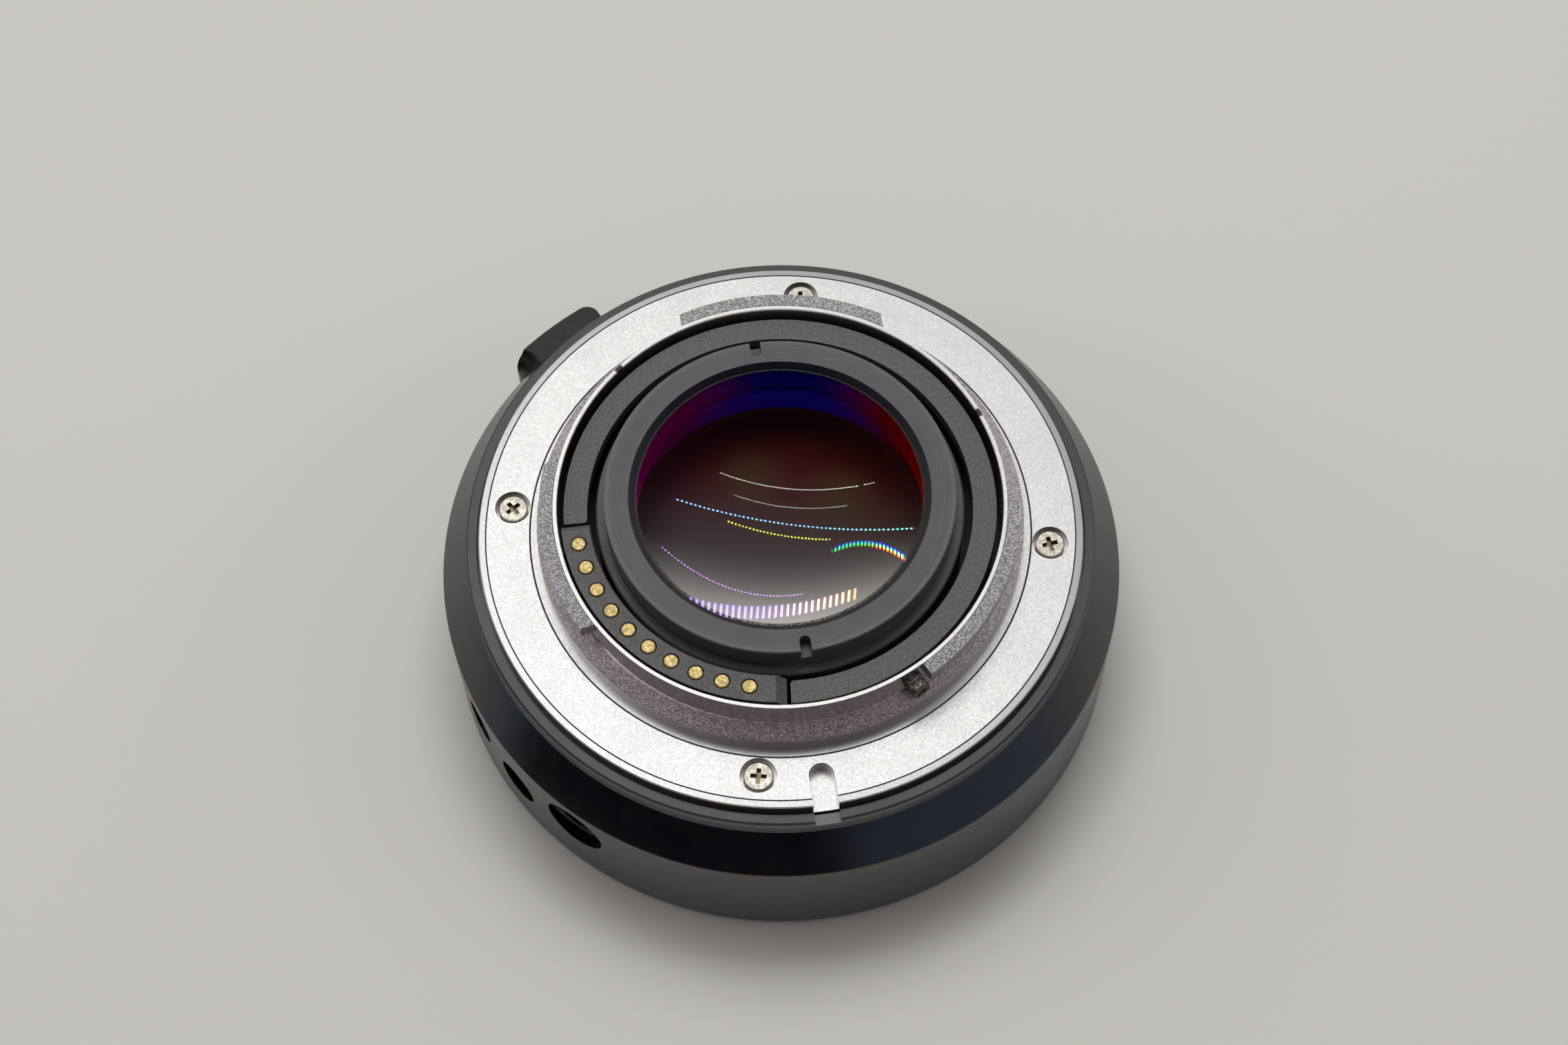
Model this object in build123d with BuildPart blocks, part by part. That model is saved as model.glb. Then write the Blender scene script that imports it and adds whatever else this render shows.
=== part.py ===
from build123d import *
import os
from math import cos, radians, sin, sqrt

# A lens mount adapter with a focal reducer inside. Millimetres, +Z up along the optical axis.
# The lens-side mount face is at z = 0 and the camera-side flange face at z = FLANGE_Z.
# Angles are degrees from +X, counter-clockwise seen from the camera side.

# Sizes that set the whole
FLANGE_Z = 19.6
BARREL_R = 32.8
LENS_THROAT_R = 27.0
CAMERA_REGISTER_R = 23.0

# Gaps: between pieces that touch, and between pieces that run or screw together
TOUCH = 0.02
CLEAR = 0.05

# Screws, by radius: shank, tapped hole and passing hole, of the main and of the small ones
SHANK_R, TAPPED_R, PASSING_R = 0.8, 0.85, 0.95
SMALL_SHANK_R, SMALL_TAPPED_R, SMALL_PASSING_R = 0.6, 0.65, 0.72
SMALL_HEAD_R, SMALL_HEAD_HEIGHT = 1.15, 0.65

# Camera-side mount, heights above the flange face
REGISTER_HEIGHT = 1.75
TUBE_OUTER_R = 21.2
TUBE_INNER_R = 20.8
TUBE_HEIGHT = 5.2
LUG_R = 22.5
LUG_THICKNESS = 1.4
LUG_SPANS = [(-48.0, 51.2, 0.0), (68.8, 51.2, 2.6), (174.6, 46.1, 3.2)]
FLANGE_R = 28.7
FLANGE_THICKNESS = 2.0
INNER_LINE_R = 23.8
OUTER_LINE_R = 28.0
FLANGE_SCREW_R = 25.6
FLANGE_SCREW_TURNS = [20, 8, 45, 0]
FLANGE_SCREW_HEAD_R = 1.38
FLANGE_SCREW_SINK = 1.15
STOP_PIN_ANGLE = -51.0
STOP_PIN_R = 0.94
STOP_PIN_Z = FLANGE_Z + 3.2

# Slot for the camera's lock pin
LOCK_SLOT_ANGLE = -77.2
LOCK_SLOT_WIDTH = 2.35
LOCK_SLOT_START_R, LOCK_SLOT_END_R = 24.6, 31.5
LOCK_SLOT_DEPTH = 1.5

# Barrel
LEDGE_DROP = 0.98
LEDGE_INNER_R = 29.0
LEDGE_OUTER_R = 29.8
CONE_TOP_R = 30.1
CONE_TOP_DROP = 2.64
CONE_FOOT_DROP = 6.72
BARREL_END_Z = 0.2
WEB_INNER_R = 23.6
WEB_THICKNESS = 2.2
BOARD_ROOM_R = 27.4
CAVITY_R = 27.95
FRAME_TOP_Z = 11.4
FRAME_THICKNESS = 1.8
FRAME_R = 27.85
SKIRT_INNER_R = 26.4
SKIRT_END_Z = 5.2
PILLAR_R = 1.7

# Round recesses in the barrel's wall: angle, height and radius
TRIPOD_SOCKET = (-122.1, 8.8, 3.175)
TRIPOD_SOCKET_DEPTH = 4.5
SIDE_RECESSES = [(-136.0, 6.6, 2.4), (-147.7, 8.3, 2.25)]
SIDE_RECESS_FLOOR_R = 29.4

# Lens mount
MOUNT_RING_R = 31.2
MOUNT_RING_TOP = 2.4
THROAT_LENGTH = 1.1
LUG_ROOM_R = 27.5
LENS_LUG_R = 25.4
LENS_LUG_STARTS, LENS_LUG_SWEEP = (2, 122, 242), 56
SPRING_SEAT_R, SPRING_SEAT_TOP = 28.5, 2.75
LEAF_THICKNESS = 0.28
INDEX_DOT_R = 0.85

# Contacts
BLOCK_START, BLOCK_SWEEP = -168.3, 84.7
BLOCK_INNER_R, BLOCK_OUTER_R = 17.85, 20.56
BLOCK_TOP_Z = FLANGE_Z + 5.1
PAD_COUNT, PAD_FIRST, PAD_PITCH = 10, -161.8, 7.56
PAD_CIRCLE_R, PAD_R, PAD_TAIL_R = 19.18, 0.7, 0.38
RIBBON_Z, RIBBON_THICKNESS = 16.0, 0.13
BOTTOM_ANGLE = -127.0
PIN_COUNT, PIN_PITCH, PIN_CIRCLE_R = 8, 6.4, 23.2
PIN_TRAVEL = 0.8
PIN_TIP_Z = 5.0
PIN_R, PIN_COLLAR_R, PIN_TAIL_R = 0.5, 0.68, 0.3

# Release lever and lock pin
LEVER_TRAVEL = 4.0
LOCK_PIN_TRAVEL = 1.6
LOCK_PIN_ANGLE, LOCK_PIN_CIRCLE_R, LOCK_PIN_R = 154.0, 29.5, 0.9
TAB_START, TAB_SWEEP, TAB_OUTER_R = 127.5, 17.0, 35.9
TAB_FOOT_Z, TAB_TOP_Z = 5.4, 11.4
LEVER_POCKET_TOP = 10.4
LEVER_FOOT_Z = 2.5
PLATE_INNER_R, PLATE_OUTER_R = 30.5, 31.1
COLLAR_LOW, COLLAR_TOP, COLLAR_R = 5.6, 6.4, 1.5

# Lens cell
CELL_R = 17.28
CELL_SHOULDER_Z = FLANGE_Z + 3.8
CELL_RING_R = 16.42
CELL_RING_TOP_Z = FLANGE_Z + 6.65
CELL_RING_INNER_R = 14.07
REAR_GLASS_RIM_R = 13.6
THREAD_R = 20.0
CELL_LOW, CELL_THREAD_TOP = 7.6, 14.6
CELL_BORE_R, GLASS_R, GLASS_CLEAR_R = 14.8, 14.75, 13.5
FRONT_BORE_R, FRONT_GLASS_R, FRONT_CLEAR_R = 18.0, 17.9, 16.7
CELL_STEP_Z, CELL_LIP_Z = 13.4, 14.4
RING_SEAT_R, RING_SEAT_Z = 16.05, 21.1

os.makedirs("parts", exist_ok=True)


def polar(radius, angle):
    """Point in the XY plane."""
    return (radius * cos(radians(angle)), radius * sin(radians(angle)))


def upright(angle):
    """Upright plane through the optical axis, its x axis pointing outwards at this angle."""
    return Plane((0, 0, 0), x_dir=(*polar(1, angle), 0), z_dir=(*polar(1, angle - 90), 0))


def facing_out(angle, radius, height):
    """Plane that looks outwards from the optical axis."""
    return Plane((*polar(radius, angle), height), x_dir=(0, 0, 1), z_dir=(*polar(1, angle), 0))


def half_section(*corners, angle=0):
    """Closed half section from (radius, height) corners, ready to revolve from this angle."""
    with BuildSketch(upright(angle)) as section:
        with BuildLine():
            Polyline(*corners, close=True)
        make_face()
    return section.sketch.faces()


def box_section(inner, outer, low, high, angle=0):
    """Rectangular half section."""
    return half_section((inner, low), (outer, low), (outer, high), (inner, high), angle=angle)


def ring_sector(inner, outer, start, sweep, z):
    """Flat sector of a ring at one height."""
    with BuildSketch(Plane.XY.offset(z)) as sector:
        with BuildLine():
            CenterArc((0, 0), outer, start, sweep)
            Line(polar(outer, start + sweep), polar(inner, start + sweep))
            CenterArc((0, 0), inner, start + sweep, -sweep)
            Line(polar(inner, start), polar(outer, start))
        make_face()
    return sector.sketch.faces()


def discs(z, radius, places):
    """Discs of one radius at (circle radius, angle) places."""
    with BuildSketch(Plane.XY.offset(z)) as sketch:
        with Locations(*[polar(*place) for place in places]):
            Circle(radius)
    return sketch.sketch.faces()


def cross(plane, size, width, turn=0):
    """Cross recess outline of a screw head."""
    with BuildSketch(plane) as sketch:
        with PolarLocations(0, 2, start_angle=turn, angular_range=180):
            Rectangle(size, width)
    return sketch.sketch.faces()


def lock_slot(z):
    """Radial slot with a round inner end, open past the barrel's ledge."""
    middle = polar((LOCK_SLOT_START_R + LOCK_SLOT_END_R) / 2, LOCK_SLOT_ANGLE)
    with BuildSketch(Plane.XY.offset(z)) as sketch:
        with Locations(Location((*middle, 0), (0, 0, LOCK_SLOT_ANGLE))):
            SlotOverall(LOCK_SLOT_END_R - LOCK_SLOT_START_R, LOCK_SLOT_WIDTH)
    return sketch.sketch.faces()


def dome(rim, bulge, radius):
    """Height of a spherical face over its rim plane, at this radius."""
    ball = (rim**2 + bulge**2) / (2 * abs(bulge))
    height = sqrt(ball**2 - radius**2) - sqrt(ball**2 - rim**2)
    return height if bulge > 0 else -height


def glass(edge_r, clear_r, low, high, low_bulge, high_bulge):
    """Half section of a lens: a flat rim band and two spherical faces. Bulges are positive upwards."""
    half = clear_r / 2
    with BuildSketch(Plane.XZ) as section:
        with BuildLine():
            ThreePointArc(
                (0, low + low_bulge),
                (half, low + dome(clear_r, low_bulge, half)),
                (clear_r, low),
            )
            Polyline((clear_r, low), (edge_r, low), (edge_r, high), (clear_r, high))
            ThreePointArc(
                (clear_r, high),
                (half, high + dome(clear_r, high_bulge, half)),
                (0, high + high_bulge),
            )
            Line((0, high + high_bulge), (0, low + low_bulge))
        make_face()
    return section.sketch.faces()


def save(piece, name):
    """Label a finished piece and write it."""
    piece.part.label = name
    export_step(piece.part, f"parts/{name}.step")


flange_screws = [(FLANGE_SCREW_R, angle) for angle in (0, 90, 180, 270)]
flange_low = FLANGE_Z - FLANGE_THICKNESS
web_low = flange_low - WEB_THICKNESS
slot_floor = FLANGE_Z - LOCK_SLOT_DEPTH
pillars = [(25.2, angle) for angle in (40, 115, 190, 320)]
mount_screws = [(29.5, angle) for angle in (20, 110, 200, 290)]
frame_low = FRAME_TOP_Z - FRAME_THICKNESS
pads = [(PAD_CIRCLE_R, PAD_FIRST + i * PAD_PITCH) for i in range(PAD_COUNT)]
foot_screws = [(22.2, angle) for angle in (-165.5, -86.5, -45, 55, 160)]
board_screws = [(24.4, angle) for angle in (75, 181, 345)]
pin_angles = [BOTTOM_ANGLE + (i - (PIN_COUNT - 1) / 2) * PIN_PITCH for i in range(PIN_COUNT)]
block_ears = [(PIN_CIRCLE_R, BOTTOM_ANGLE - 31.2), (PIN_CIRCLE_R, BOTTOM_ANGLE + 31.2)]
lock_pin_place = [(LOCK_PIN_CIRCLE_R, LOCK_PIN_ANGLE)]
index_dot_place = [(29.2, 62)]
board_low = 12.15
board_top = board_low + 0.8
foot_low, foot_top = 16.4, flange_low - CLEAR

# Main barrel: shell with a ledge, a cone, a straight wall, an inner web and four screw pillars
lever_pocket = (27.9, 31.3, 127.0, 36.0)
lever_slot = (31.0, 33.5, 130.2, 11.6)
pillar_hole_depth = 3.2
mount_screw_depth = 4.0
with BuildPart() as main_barrel:
    ledge = FLANGE_Z - LEDGE_DROP
    revolve(
        half_section(
            (MOUNT_RING_R + CLEAR, BARREL_END_Z),
            (BARREL_R - 0.4, BARREL_END_Z),
            (BARREL_R, BARREL_END_Z + 0.4),
            (BARREL_R, FLANGE_Z - CONE_FOOT_DROP),
            (CONE_TOP_R, FLANGE_Z - CONE_TOP_DROP),
            (LEDGE_OUTER_R + 0.18, ledge - 0.15),
            (LEDGE_OUTER_R, ledge),
            (LEDGE_INNER_R, ledge),
            (LEDGE_INNER_R, flange_low),
            (WEB_INNER_R, flange_low),
            (WEB_INNER_R, web_low),
            (BOARD_ROOM_R, web_low),
            (BOARD_ROOM_R, FRAME_TOP_Z),
            (CAVITY_R, FRAME_TOP_Z),
            (CAVITY_R, SPRING_SEAT_TOP),
            (SPRING_SEAT_R, SPRING_SEAT_TOP),
            (SPRING_SEAT_R, MOUNT_RING_TOP),
            (MOUNT_RING_R + CLEAR, MOUNT_RING_TOP),
        )
    )
    extrude(discs(FRAME_TOP_Z, PILLAR_R, pillars), amount=web_low - FRAME_TOP_Z)
    extrude(discs(FRAME_TOP_Z, TAPPED_R, pillars), amount=pillar_hole_depth, mode=Mode.SUBTRACT)
    extrude(discs(web_low, TAPPED_R, flange_screws), amount=WEB_THICKNESS, mode=Mode.SUBTRACT)
    extrude(discs(MOUNT_RING_TOP, TAPPED_R, mount_screws), amount=mount_screw_depth, mode=Mode.SUBTRACT)
    extrude(lock_slot(slot_floor), amount=2 * LOCK_SLOT_DEPTH, mode=Mode.SUBTRACT)
    # Pocket for the lever's plate and the lock pin, a guide hole over the pin, and the lever's slot
    extrude(
        ring_sector(*lever_pocket, MOUNT_RING_TOP),
        amount=LEVER_POCKET_TOP - MOUNT_RING_TOP,
        mode=Mode.SUBTRACT,
    )
    extrude(discs(LEVER_POCKET_TOP, LOCK_PIN_R + CLEAR, lock_pin_place), amount=2.2, mode=Mode.SUBTRACT)
    extrude(ring_sector(*lever_slot, 6.5), amount=3.2, mode=Mode.SUBTRACT)
    # Tripod socket and the two smaller recesses with their screw holes
    angle, height, radius = TRIPOD_SOCKET
    with BuildSketch(facing_out(angle, BARREL_R + 0.5, height)):
        Circle(radius)
    extrude(amount=-(TRIPOD_SOCKET_DEPTH + 0.5), mode=Mode.SUBTRACT)
    for angle, height, radius in SIDE_RECESSES:
        with BuildSketch(facing_out(angle, SIDE_RECESS_FLOOR_R, height)):
            Circle(radius)
        extrude(amount=5, mode=Mode.SUBTRACT)
        with BuildSketch(facing_out(angle, SIDE_RECESS_FLOOR_R, height)):
            Circle(PASSING_R)
        extrude(amount=-3, mode=Mode.SUBTRACT)
save(main_barrel, "main_barrel")

# Camera mount: flange with two fine lines, register boss, thin tube and three lugs
lug_low = FLANGE_Z + TUBE_HEIGHT - LUG_THICKNESS
screw_seat = FLANGE_Z - FLANGE_SCREW_SINK
with BuildPart() as camera_mount:
    top = FLANGE_Z + TUBE_HEIGHT
    revolve(
        half_section(
            (TUBE_INNER_R, flange_low),
            (FLANGE_R, flange_low),
            (FLANGE_R, FLANGE_Z - 0.16),
            (FLANGE_R - 0.1, FLANGE_Z - 0.06),
            (OUTER_LINE_R + 0.07, FLANGE_Z),
            (OUTER_LINE_R, FLANGE_Z - 0.07),
            (OUTER_LINE_R - 0.07, FLANGE_Z),
            (INNER_LINE_R + 0.09, FLANGE_Z),
            (INNER_LINE_R, FLANGE_Z - 0.1),
            (INNER_LINE_R - 0.09, FLANGE_Z),
            (CAMERA_REGISTER_R, FLANGE_Z),
            (CAMERA_REGISTER_R, FLANGE_Z + REGISTER_HEIGHT - 0.08),
            (CAMERA_REGISTER_R - 0.08, FLANGE_Z + REGISTER_HEIGHT),
            (TUBE_OUTER_R, FLANGE_Z + REGISTER_HEIGHT),
            (TUBE_OUTER_R, top),
            (TUBE_INNER_R + 0.08, top),
            (TUBE_INNER_R, top - 0.08),
        )
    )
    for start, sweep, lean in LUG_SPANS:
        inner = TUBE_OUTER_R - 0.1
        with BuildSketch(Plane.XY.offset(lug_low)):
            with BuildLine():
                CenterArc((0, 0), LUG_R, start, sweep)
                Line(polar(LUG_R, start + sweep), polar(inner, start + sweep + 1.0))
                CenterArc((0, 0), inner, start + sweep + 1.0, -sweep - 1.0 - lean)
                Line(polar(inner, start - lean), polar(LUG_R, start))
            make_face()
        extrude(amount=LUG_THICKNESS)
    extrude(discs(flange_low, PASSING_R, flange_screws), amount=FLANGE_THICKNESS, mode=Mode.SUBTRACT)
    extrude(discs(screw_seat, 1.7, flange_screws), amount=FLANGE_SCREW_SINK, mode=Mode.SUBTRACT)
    extrude(lock_slot(slot_floor), amount=LOCK_SLOT_DEPTH, mode=Mode.SUBTRACT)
    with BuildSketch(facing_out(STOP_PIN_ANGLE, TUBE_INNER_R - 1, STOP_PIN_Z)):
        Circle(STOP_PIN_R + TOUCH / 2)
    extrude(amount=2.5, mode=Mode.SUBTRACT)
    extrude(discs(flange_low, SMALL_TAPPED_R, foot_screws), amount=1.85, mode=Mode.SUBTRACT)
save(camera_mount, "camera_mount")

# Four flat-topped screws with cross recesses, each turned its own way
with BuildPart() as camera_mount_screws:
    head_top = FLANGE_Z - 0.22
    extrude(discs(screw_seat, FLANGE_SCREW_HEAD_R, flange_screws), amount=head_top - screw_seat)
    chamfer(camera_mount_screws.edges().group_by(Axis.Z)[-1], 0.1)
    extrude(discs(web_low + 0.2, SHANK_R, flange_screws), amount=screw_seat - web_low - 0.2)
    for (radius, angle), turn in zip(flange_screws, FLANGE_SCREW_TURNS):
        centre = Plane((*polar(radius, angle), head_top))
        extrude(cross(centre, 1.5, 0.42, turn), amount=-0.55, mode=Mode.SUBTRACT)
save(camera_mount_screws, "camera_mount_screws")

# Stop pin: radial, screwed into the tube beside a lug
with BuildPart() as lug_stop_pin:
    with BuildSketch(facing_out(STOP_PIN_ANGLE, TUBE_INNER_R + CLEAR, STOP_PIN_Z)):
        Circle(STOP_PIN_R)
    extrude(amount=1.9)
    chamfer(lug_stop_pin.faces().sort_by(SortBy.DISTANCE)[-1].edges(), 0.12)
    tip = facing_out(STOP_PIN_ANGLE, TUBE_INNER_R + CLEAR + 1.9, STOP_PIN_Z)
    extrude(cross(tip, 1.1, 0.3, 45), amount=-0.35, mode=Mode.SUBTRACT)
save(lug_stop_pin, "lug_stop_pin")

# Light baffle: open ring inside the tube, on a foot trapped under the camera mount
baffle_start, baffle_sweep = -82.6, 272.9
baffle_inner, baffle_outer = 18.07, 20.27
baffle_top = FLANGE_Z + 4.2
lip_low = baffle_top - 1.2
with BuildPart() as light_baffle:
    revolve(
        half_section(
            (19.6, foot_low),
            (23.4, foot_low),
            (23.4, foot_top),
            (baffle_outer, foot_top),
            (baffle_outer, baffle_top),
            (baffle_inner, baffle_top),
            (baffle_inner, lip_low),
            (19.6, lip_low),
            angle=baffle_start,
        ),
        revolution_arc=baffle_sweep,
    )
    ends = light_baffle.edges().filter_by(Axis.Z).filter_by(lambda e: e.center().Z > lip_low)
    inner_corners = [e for e in ends if Vector(e.center().X, e.center().Y).length < baffle_inner + 0.1]
    fillet(inner_corners, 0.35)
    extrude(discs(foot_low, SMALL_PASSING_R, foot_screws[2:]), amount=2, mode=Mode.SUBTRACT)
save(light_baffle, "light_baffle")

# Camera contact block: fills the baffle's gap, bevelled at both ends, bored for ten studs
pad_low = BLOCK_TOP_Z - 0.75
with BuildPart() as camera_contact_block:
    revolve(
        half_section(
            (BLOCK_INNER_R, foot_low),
            (23.3, foot_low),
            (23.3, foot_top),
            (BLOCK_OUTER_R, foot_top),
            (BLOCK_OUTER_R, BLOCK_TOP_Z),
            (BLOCK_INNER_R + 0.12, BLOCK_TOP_Z),
            (BLOCK_INNER_R, BLOCK_TOP_Z - 0.12),
            angle=BLOCK_START,
        ),
        revolution_arc=BLOCK_SWEEP,
    )
    top_face = camera_contact_block.faces().filter_by(Axis.Z).sort_by(Axis.Z)[-1]
    top_ends = top_face.edges().filter_by(GeomType.LINE)
    far_end = top_ends.sort_by(Axis.X)[-1]
    near_end = top_ends.sort_by(Axis.X)[0]
    chamfer(far_end, 1.0, 1.0)
    chamfer(near_end, 0.6, 0.6)
    extrude(discs(foot_low, SMALL_PASSING_R, foot_screws[:2]), amount=1.15, mode=Mode.SUBTRACT)
    extrude(discs(foot_low, PAD_TAIL_R + 0.04, pads), amount=BLOCK_TOP_Z - foot_low, mode=Mode.SUBTRACT)
    extrude(discs(pad_low - CLEAR, PAD_R + 0.07, pads), amount=1.0, mode=Mode.SUBTRACT)
save(camera_contact_block, "camera_contact_block")

# Five small screws hold the baffle and the block up to the mount, out of sight
foot_head_low = foot_low - TOUCH - SMALL_HEAD_HEIGHT
with BuildPart() as foot_screw_set:
    extrude(discs(foot_head_low, 1.1, foot_screws), amount=SMALL_HEAD_HEIGHT)
    extrude(discs(foot_low - TOUCH, SMALL_SHANK_R, foot_screws), amount=2.9)
    for radius, angle in foot_screws:
        centre = Plane((*polar(radius, angle), foot_head_low))
        extrude(cross(centre, 1.2, 0.3, angle), amount=0.35, mode=Mode.SUBTRACT)
save(foot_screw_set, "foot_screws")

# Ten gilt studs, proud of the block by a hair, with tails down to the ribbon
with BuildPart() as camera_contact_pads:
    extrude(discs(pad_low, PAD_R, pads), amount=0.82)
    fillet(camera_contact_pads.edges().group_by(Axis.Z)[-1], 0.14)
    extrude(discs(RIBBON_Z + TOUCH, PAD_TAIL_R, pads), amount=pad_low - RIBBON_Z - TOUCH)
save(camera_contact_pads, "camera_contact_pads")

# Lens cell: barrel threaded into the inner frame, stepped for the glasses
with BuildPart() as lens_cell:
    revolve(
        half_section(
            (FRONT_BORE_R, CELL_LOW),
            (THREAD_R - 0.25, CELL_LOW),
            (THREAD_R - CLEAR, CELL_LOW + 0.2),
            (THREAD_R - CLEAR, CELL_THREAD_TOP),
            (CELL_R, CELL_THREAD_TOP),
            (CELL_R, CELL_SHOULDER_Z - 0.15),
            (CELL_R - 0.15, CELL_SHOULDER_Z),
            (RING_SEAT_R, CELL_SHOULDER_Z),
            (RING_SEAT_R, RING_SEAT_Z),
            (CELL_BORE_R, RING_SEAT_Z),
            (CELL_BORE_R, CELL_LIP_Z),
            (13.4, CELL_LIP_Z),
            (13.4, CELL_STEP_Z),
            (FRONT_BORE_R, CELL_STEP_Z),
        )
    )
save(lens_cell, "lens_cell")

# Rear retaining ring: screws into the cell, its lip holds the rear glass, two spanner slots
spanner_angles = (-77.0, 103.0)
ring_lip_low = CELL_RING_TOP_Z - 0.42
with BuildPart() as rear_retaining_ring:
    revolve(
        half_section(
            (GLASS_R + 0.1, RING_SEAT_Z + CLEAR),
            (RING_SEAT_R - CLEAR, RING_SEAT_Z + CLEAR),
            (RING_SEAT_R - CLEAR, CELL_SHOULDER_Z + CLEAR),
            (CELL_RING_R, CELL_SHOULDER_Z + CLEAR),
            (CELL_RING_R, CELL_RING_TOP_Z - 0.1),
            (CELL_RING_R - 0.1, CELL_RING_TOP_Z),
            (CELL_RING_INNER_R, CELL_RING_TOP_Z),
            (REAR_GLASS_RIM_R, CELL_RING_TOP_Z - 0.3),
            (REAR_GLASS_RIM_R, ring_lip_low),
            (GLASS_R + 0.1, ring_lip_low),
        )
    )
    for angle in spanner_angles:
        with BuildSketch(Plane.XY.offset(CELL_RING_TOP_Z)):
            with Locations(Location((*polar(15.9, angle), 0), (0, 0, angle))):
                SlotOverall(2.1, 1.03)
        extrude(amount=-1.3, mode=Mode.SUBTRACT)
save(rear_retaining_ring, "rear_retaining_ring")

# Glasses, from the camera side to the lens side. The middle pair is cemented.
rear_glass_low, rear_glass_top = 24.2, ring_lip_low - 0.03
pair_low, pair_joint, pair_top, pair_bulge = 16.4, 18.9, 21.6, 1.7
front_glass_low = 10.05
with BuildPart() as rear_lens:
    revolve(glass(GLASS_R, REAR_GLASS_RIM_R, rear_glass_low, rear_glass_top, -0.9, 1.55))
save(rear_lens, "rear_lens")
with BuildPart() as middle_lens:
    revolve(glass(GLASS_R, GLASS_CLEAR_R, pair_joint, pair_top, -pair_bulge, 0.8))
save(middle_lens, "middle_lens")
with BuildPart() as field_lens:
    revolve(glass(GLASS_R, GLASS_CLEAR_R, pair_low, pair_joint - TOUCH, 0.5, -pair_bulge))
save(field_lens, "field_lens")
with BuildPart() as front_lens:
    revolve(glass(FRONT_GLASS_R, FRONT_CLEAR_R, front_glass_low, CELL_STEP_Z - CLEAR, -1.9, -0.5))
save(front_lens, "front_lens")

# Spacers between the glasses
with BuildPart() as rear_spacer:
    low, high = pair_top + CLEAR, rear_glass_low - CLEAR
    revolve(half_section((13.9, low), (14.7, low), (14.7, high), (13.6, high), (13.6, low + 1)))
save(rear_spacer, "rear_spacer")
with BuildPart() as middle_spacer:
    low, high = CELL_LIP_Z + TOUCH, pair_low - CLEAR
    revolve(half_section((14.0, low), (14.7, low), (14.7, high), (13.6, high), (13.6, low + 0.6)))
save(middle_spacer, "middle_spacer")

# Front retaining ring, with two spanner slots on the lens side
with BuildPart() as front_retaining_ring:
    low, high = CELL_LOW + 0.2, front_glass_low - CLEAR
    outer = FRONT_BORE_R - CLEAR
    revolve(half_section((17.0, low), (outer, low), (outer, high), (16.7, high), (16.7, low + 1.5)))
    with BuildSketch(Plane.XY.offset(low)):
        with PolarLocations(17.4, 2):
            Rectangle(2.0, 1.0)
    extrude(amount=0.7, mode=Mode.SUBTRACT)
save(front_retaining_ring, "front_retaining_ring")

# Inner frame: plate with a threaded hub for the cell and a skirt that the side screws enter
window = (21.55, 24.95, BOTTOM_ANGLE - 27.5, 55.0)
skirt_start, skirt_sweep = 163.5, 323
hub_r, hub_top = 21.4, 15.0
plate_top = FRAME_TOP_Z - 0.03
with BuildPart() as inner_frame:
    revolve(
        half_section(
            (THREAD_R, frame_low),
            (FRAME_R, frame_low),
            (FRAME_R, plate_top),
            (hub_r, plate_top),
            (hub_r, hub_top),
            (THREAD_R, hub_top),
        )
    )
    skirt = box_section(SKIRT_INNER_R, FRAME_R, SKIRT_END_Z, frame_low, angle=skirt_start)
    revolve(skirt, revolution_arc=skirt_sweep)
    extrude(discs(plate_top, 1.5, board_screws), amount=board_low - TOUCH - plate_top)
    extrude(discs(frame_low, SMALL_TAPPED_R, board_screws), amount=3, mode=Mode.SUBTRACT)
    extrude(ring_sector(*window, frame_low), amount=FRAME_THICKNESS, mode=Mode.SUBTRACT)
    extrude(discs(frame_low, PASSING_R, pillars), amount=FRAME_THICKNESS, mode=Mode.SUBTRACT)
    extrude(discs(frame_low, 1.5, pillars), amount=0.9, mode=Mode.SUBTRACT)
    extrude(discs(frame_low, SMALL_TAPPED_R, block_ears), amount=FRAME_THICKNESS, mode=Mode.SUBTRACT)
    for angle, height, radius in SIDE_RECESSES:
        with BuildSketch(facing_out(angle, FRAME_R + 0.5, height)):
            Circle(TAPPED_R)
        extrude(amount=-2.5, mode=Mode.SUBTRACT)
save(inner_frame, "inner_frame")

# Screws that hold the inner frame to the barrel's pillars, heads sunk on the lens side
with BuildPart() as inner_frame_screws:
    head_low, head_height = frame_low + CLEAR, 0.8
    extrude(discs(head_low, 1.4, pillars), amount=head_height)
    chamfer(inner_frame_screws.edges().group_by(Axis.Z)[0], 0.1)
    extrude(discs(head_low + head_height, SHANK_R, pillars), amount=3.6)
    for radius, angle in pillars:
        centre = Plane((*polar(radius, angle), head_low))
        extrude(cross(centre, 1.5, 0.4, angle), amount=0.45, mode=Mode.SUBTRACT)
save(inner_frame_screws, "inner_frame_screws")

# Side screws at the bottom of the two smaller recesses, into the frame's skirt
with BuildPart() as side_screws:
    for angle, height, radius in SIDE_RECESSES:
        seat = facing_out(angle, SIDE_RECESS_FLOOR_R + TOUCH, height)
        with BuildSketch(seat):
            Circle(radius - 0.65)
        extrude(amount=0.9)
        with BuildSketch(seat):
            Circle(SHANK_R)
        extrude(amount=-2.8)
        extrude(cross(seat.offset(0.9), 1.7, 0.42, 30), amount=-0.5, mode=Mode.SUBTRACT)
save(side_screws, "side_screws")

# Circuit board: open ring over the frame, notched for the pillars
with BuildPart() as circuit_board:
    thickness = board_top - board_low
    extrude(ring_sector(hub_r + 0.5, BOARD_ROOM_R - 0.5, 62.0, 295.0, board_low), amount=thickness)
    extrude(discs(board_low, PILLAR_R + 0.3, pillars), amount=thickness, mode=Mode.SUBTRACT)
    extrude(discs(board_low, SMALL_PASSING_R, board_screws), amount=thickness, mode=Mode.SUBTRACT)
save(circuit_board, "circuit_board")

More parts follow.
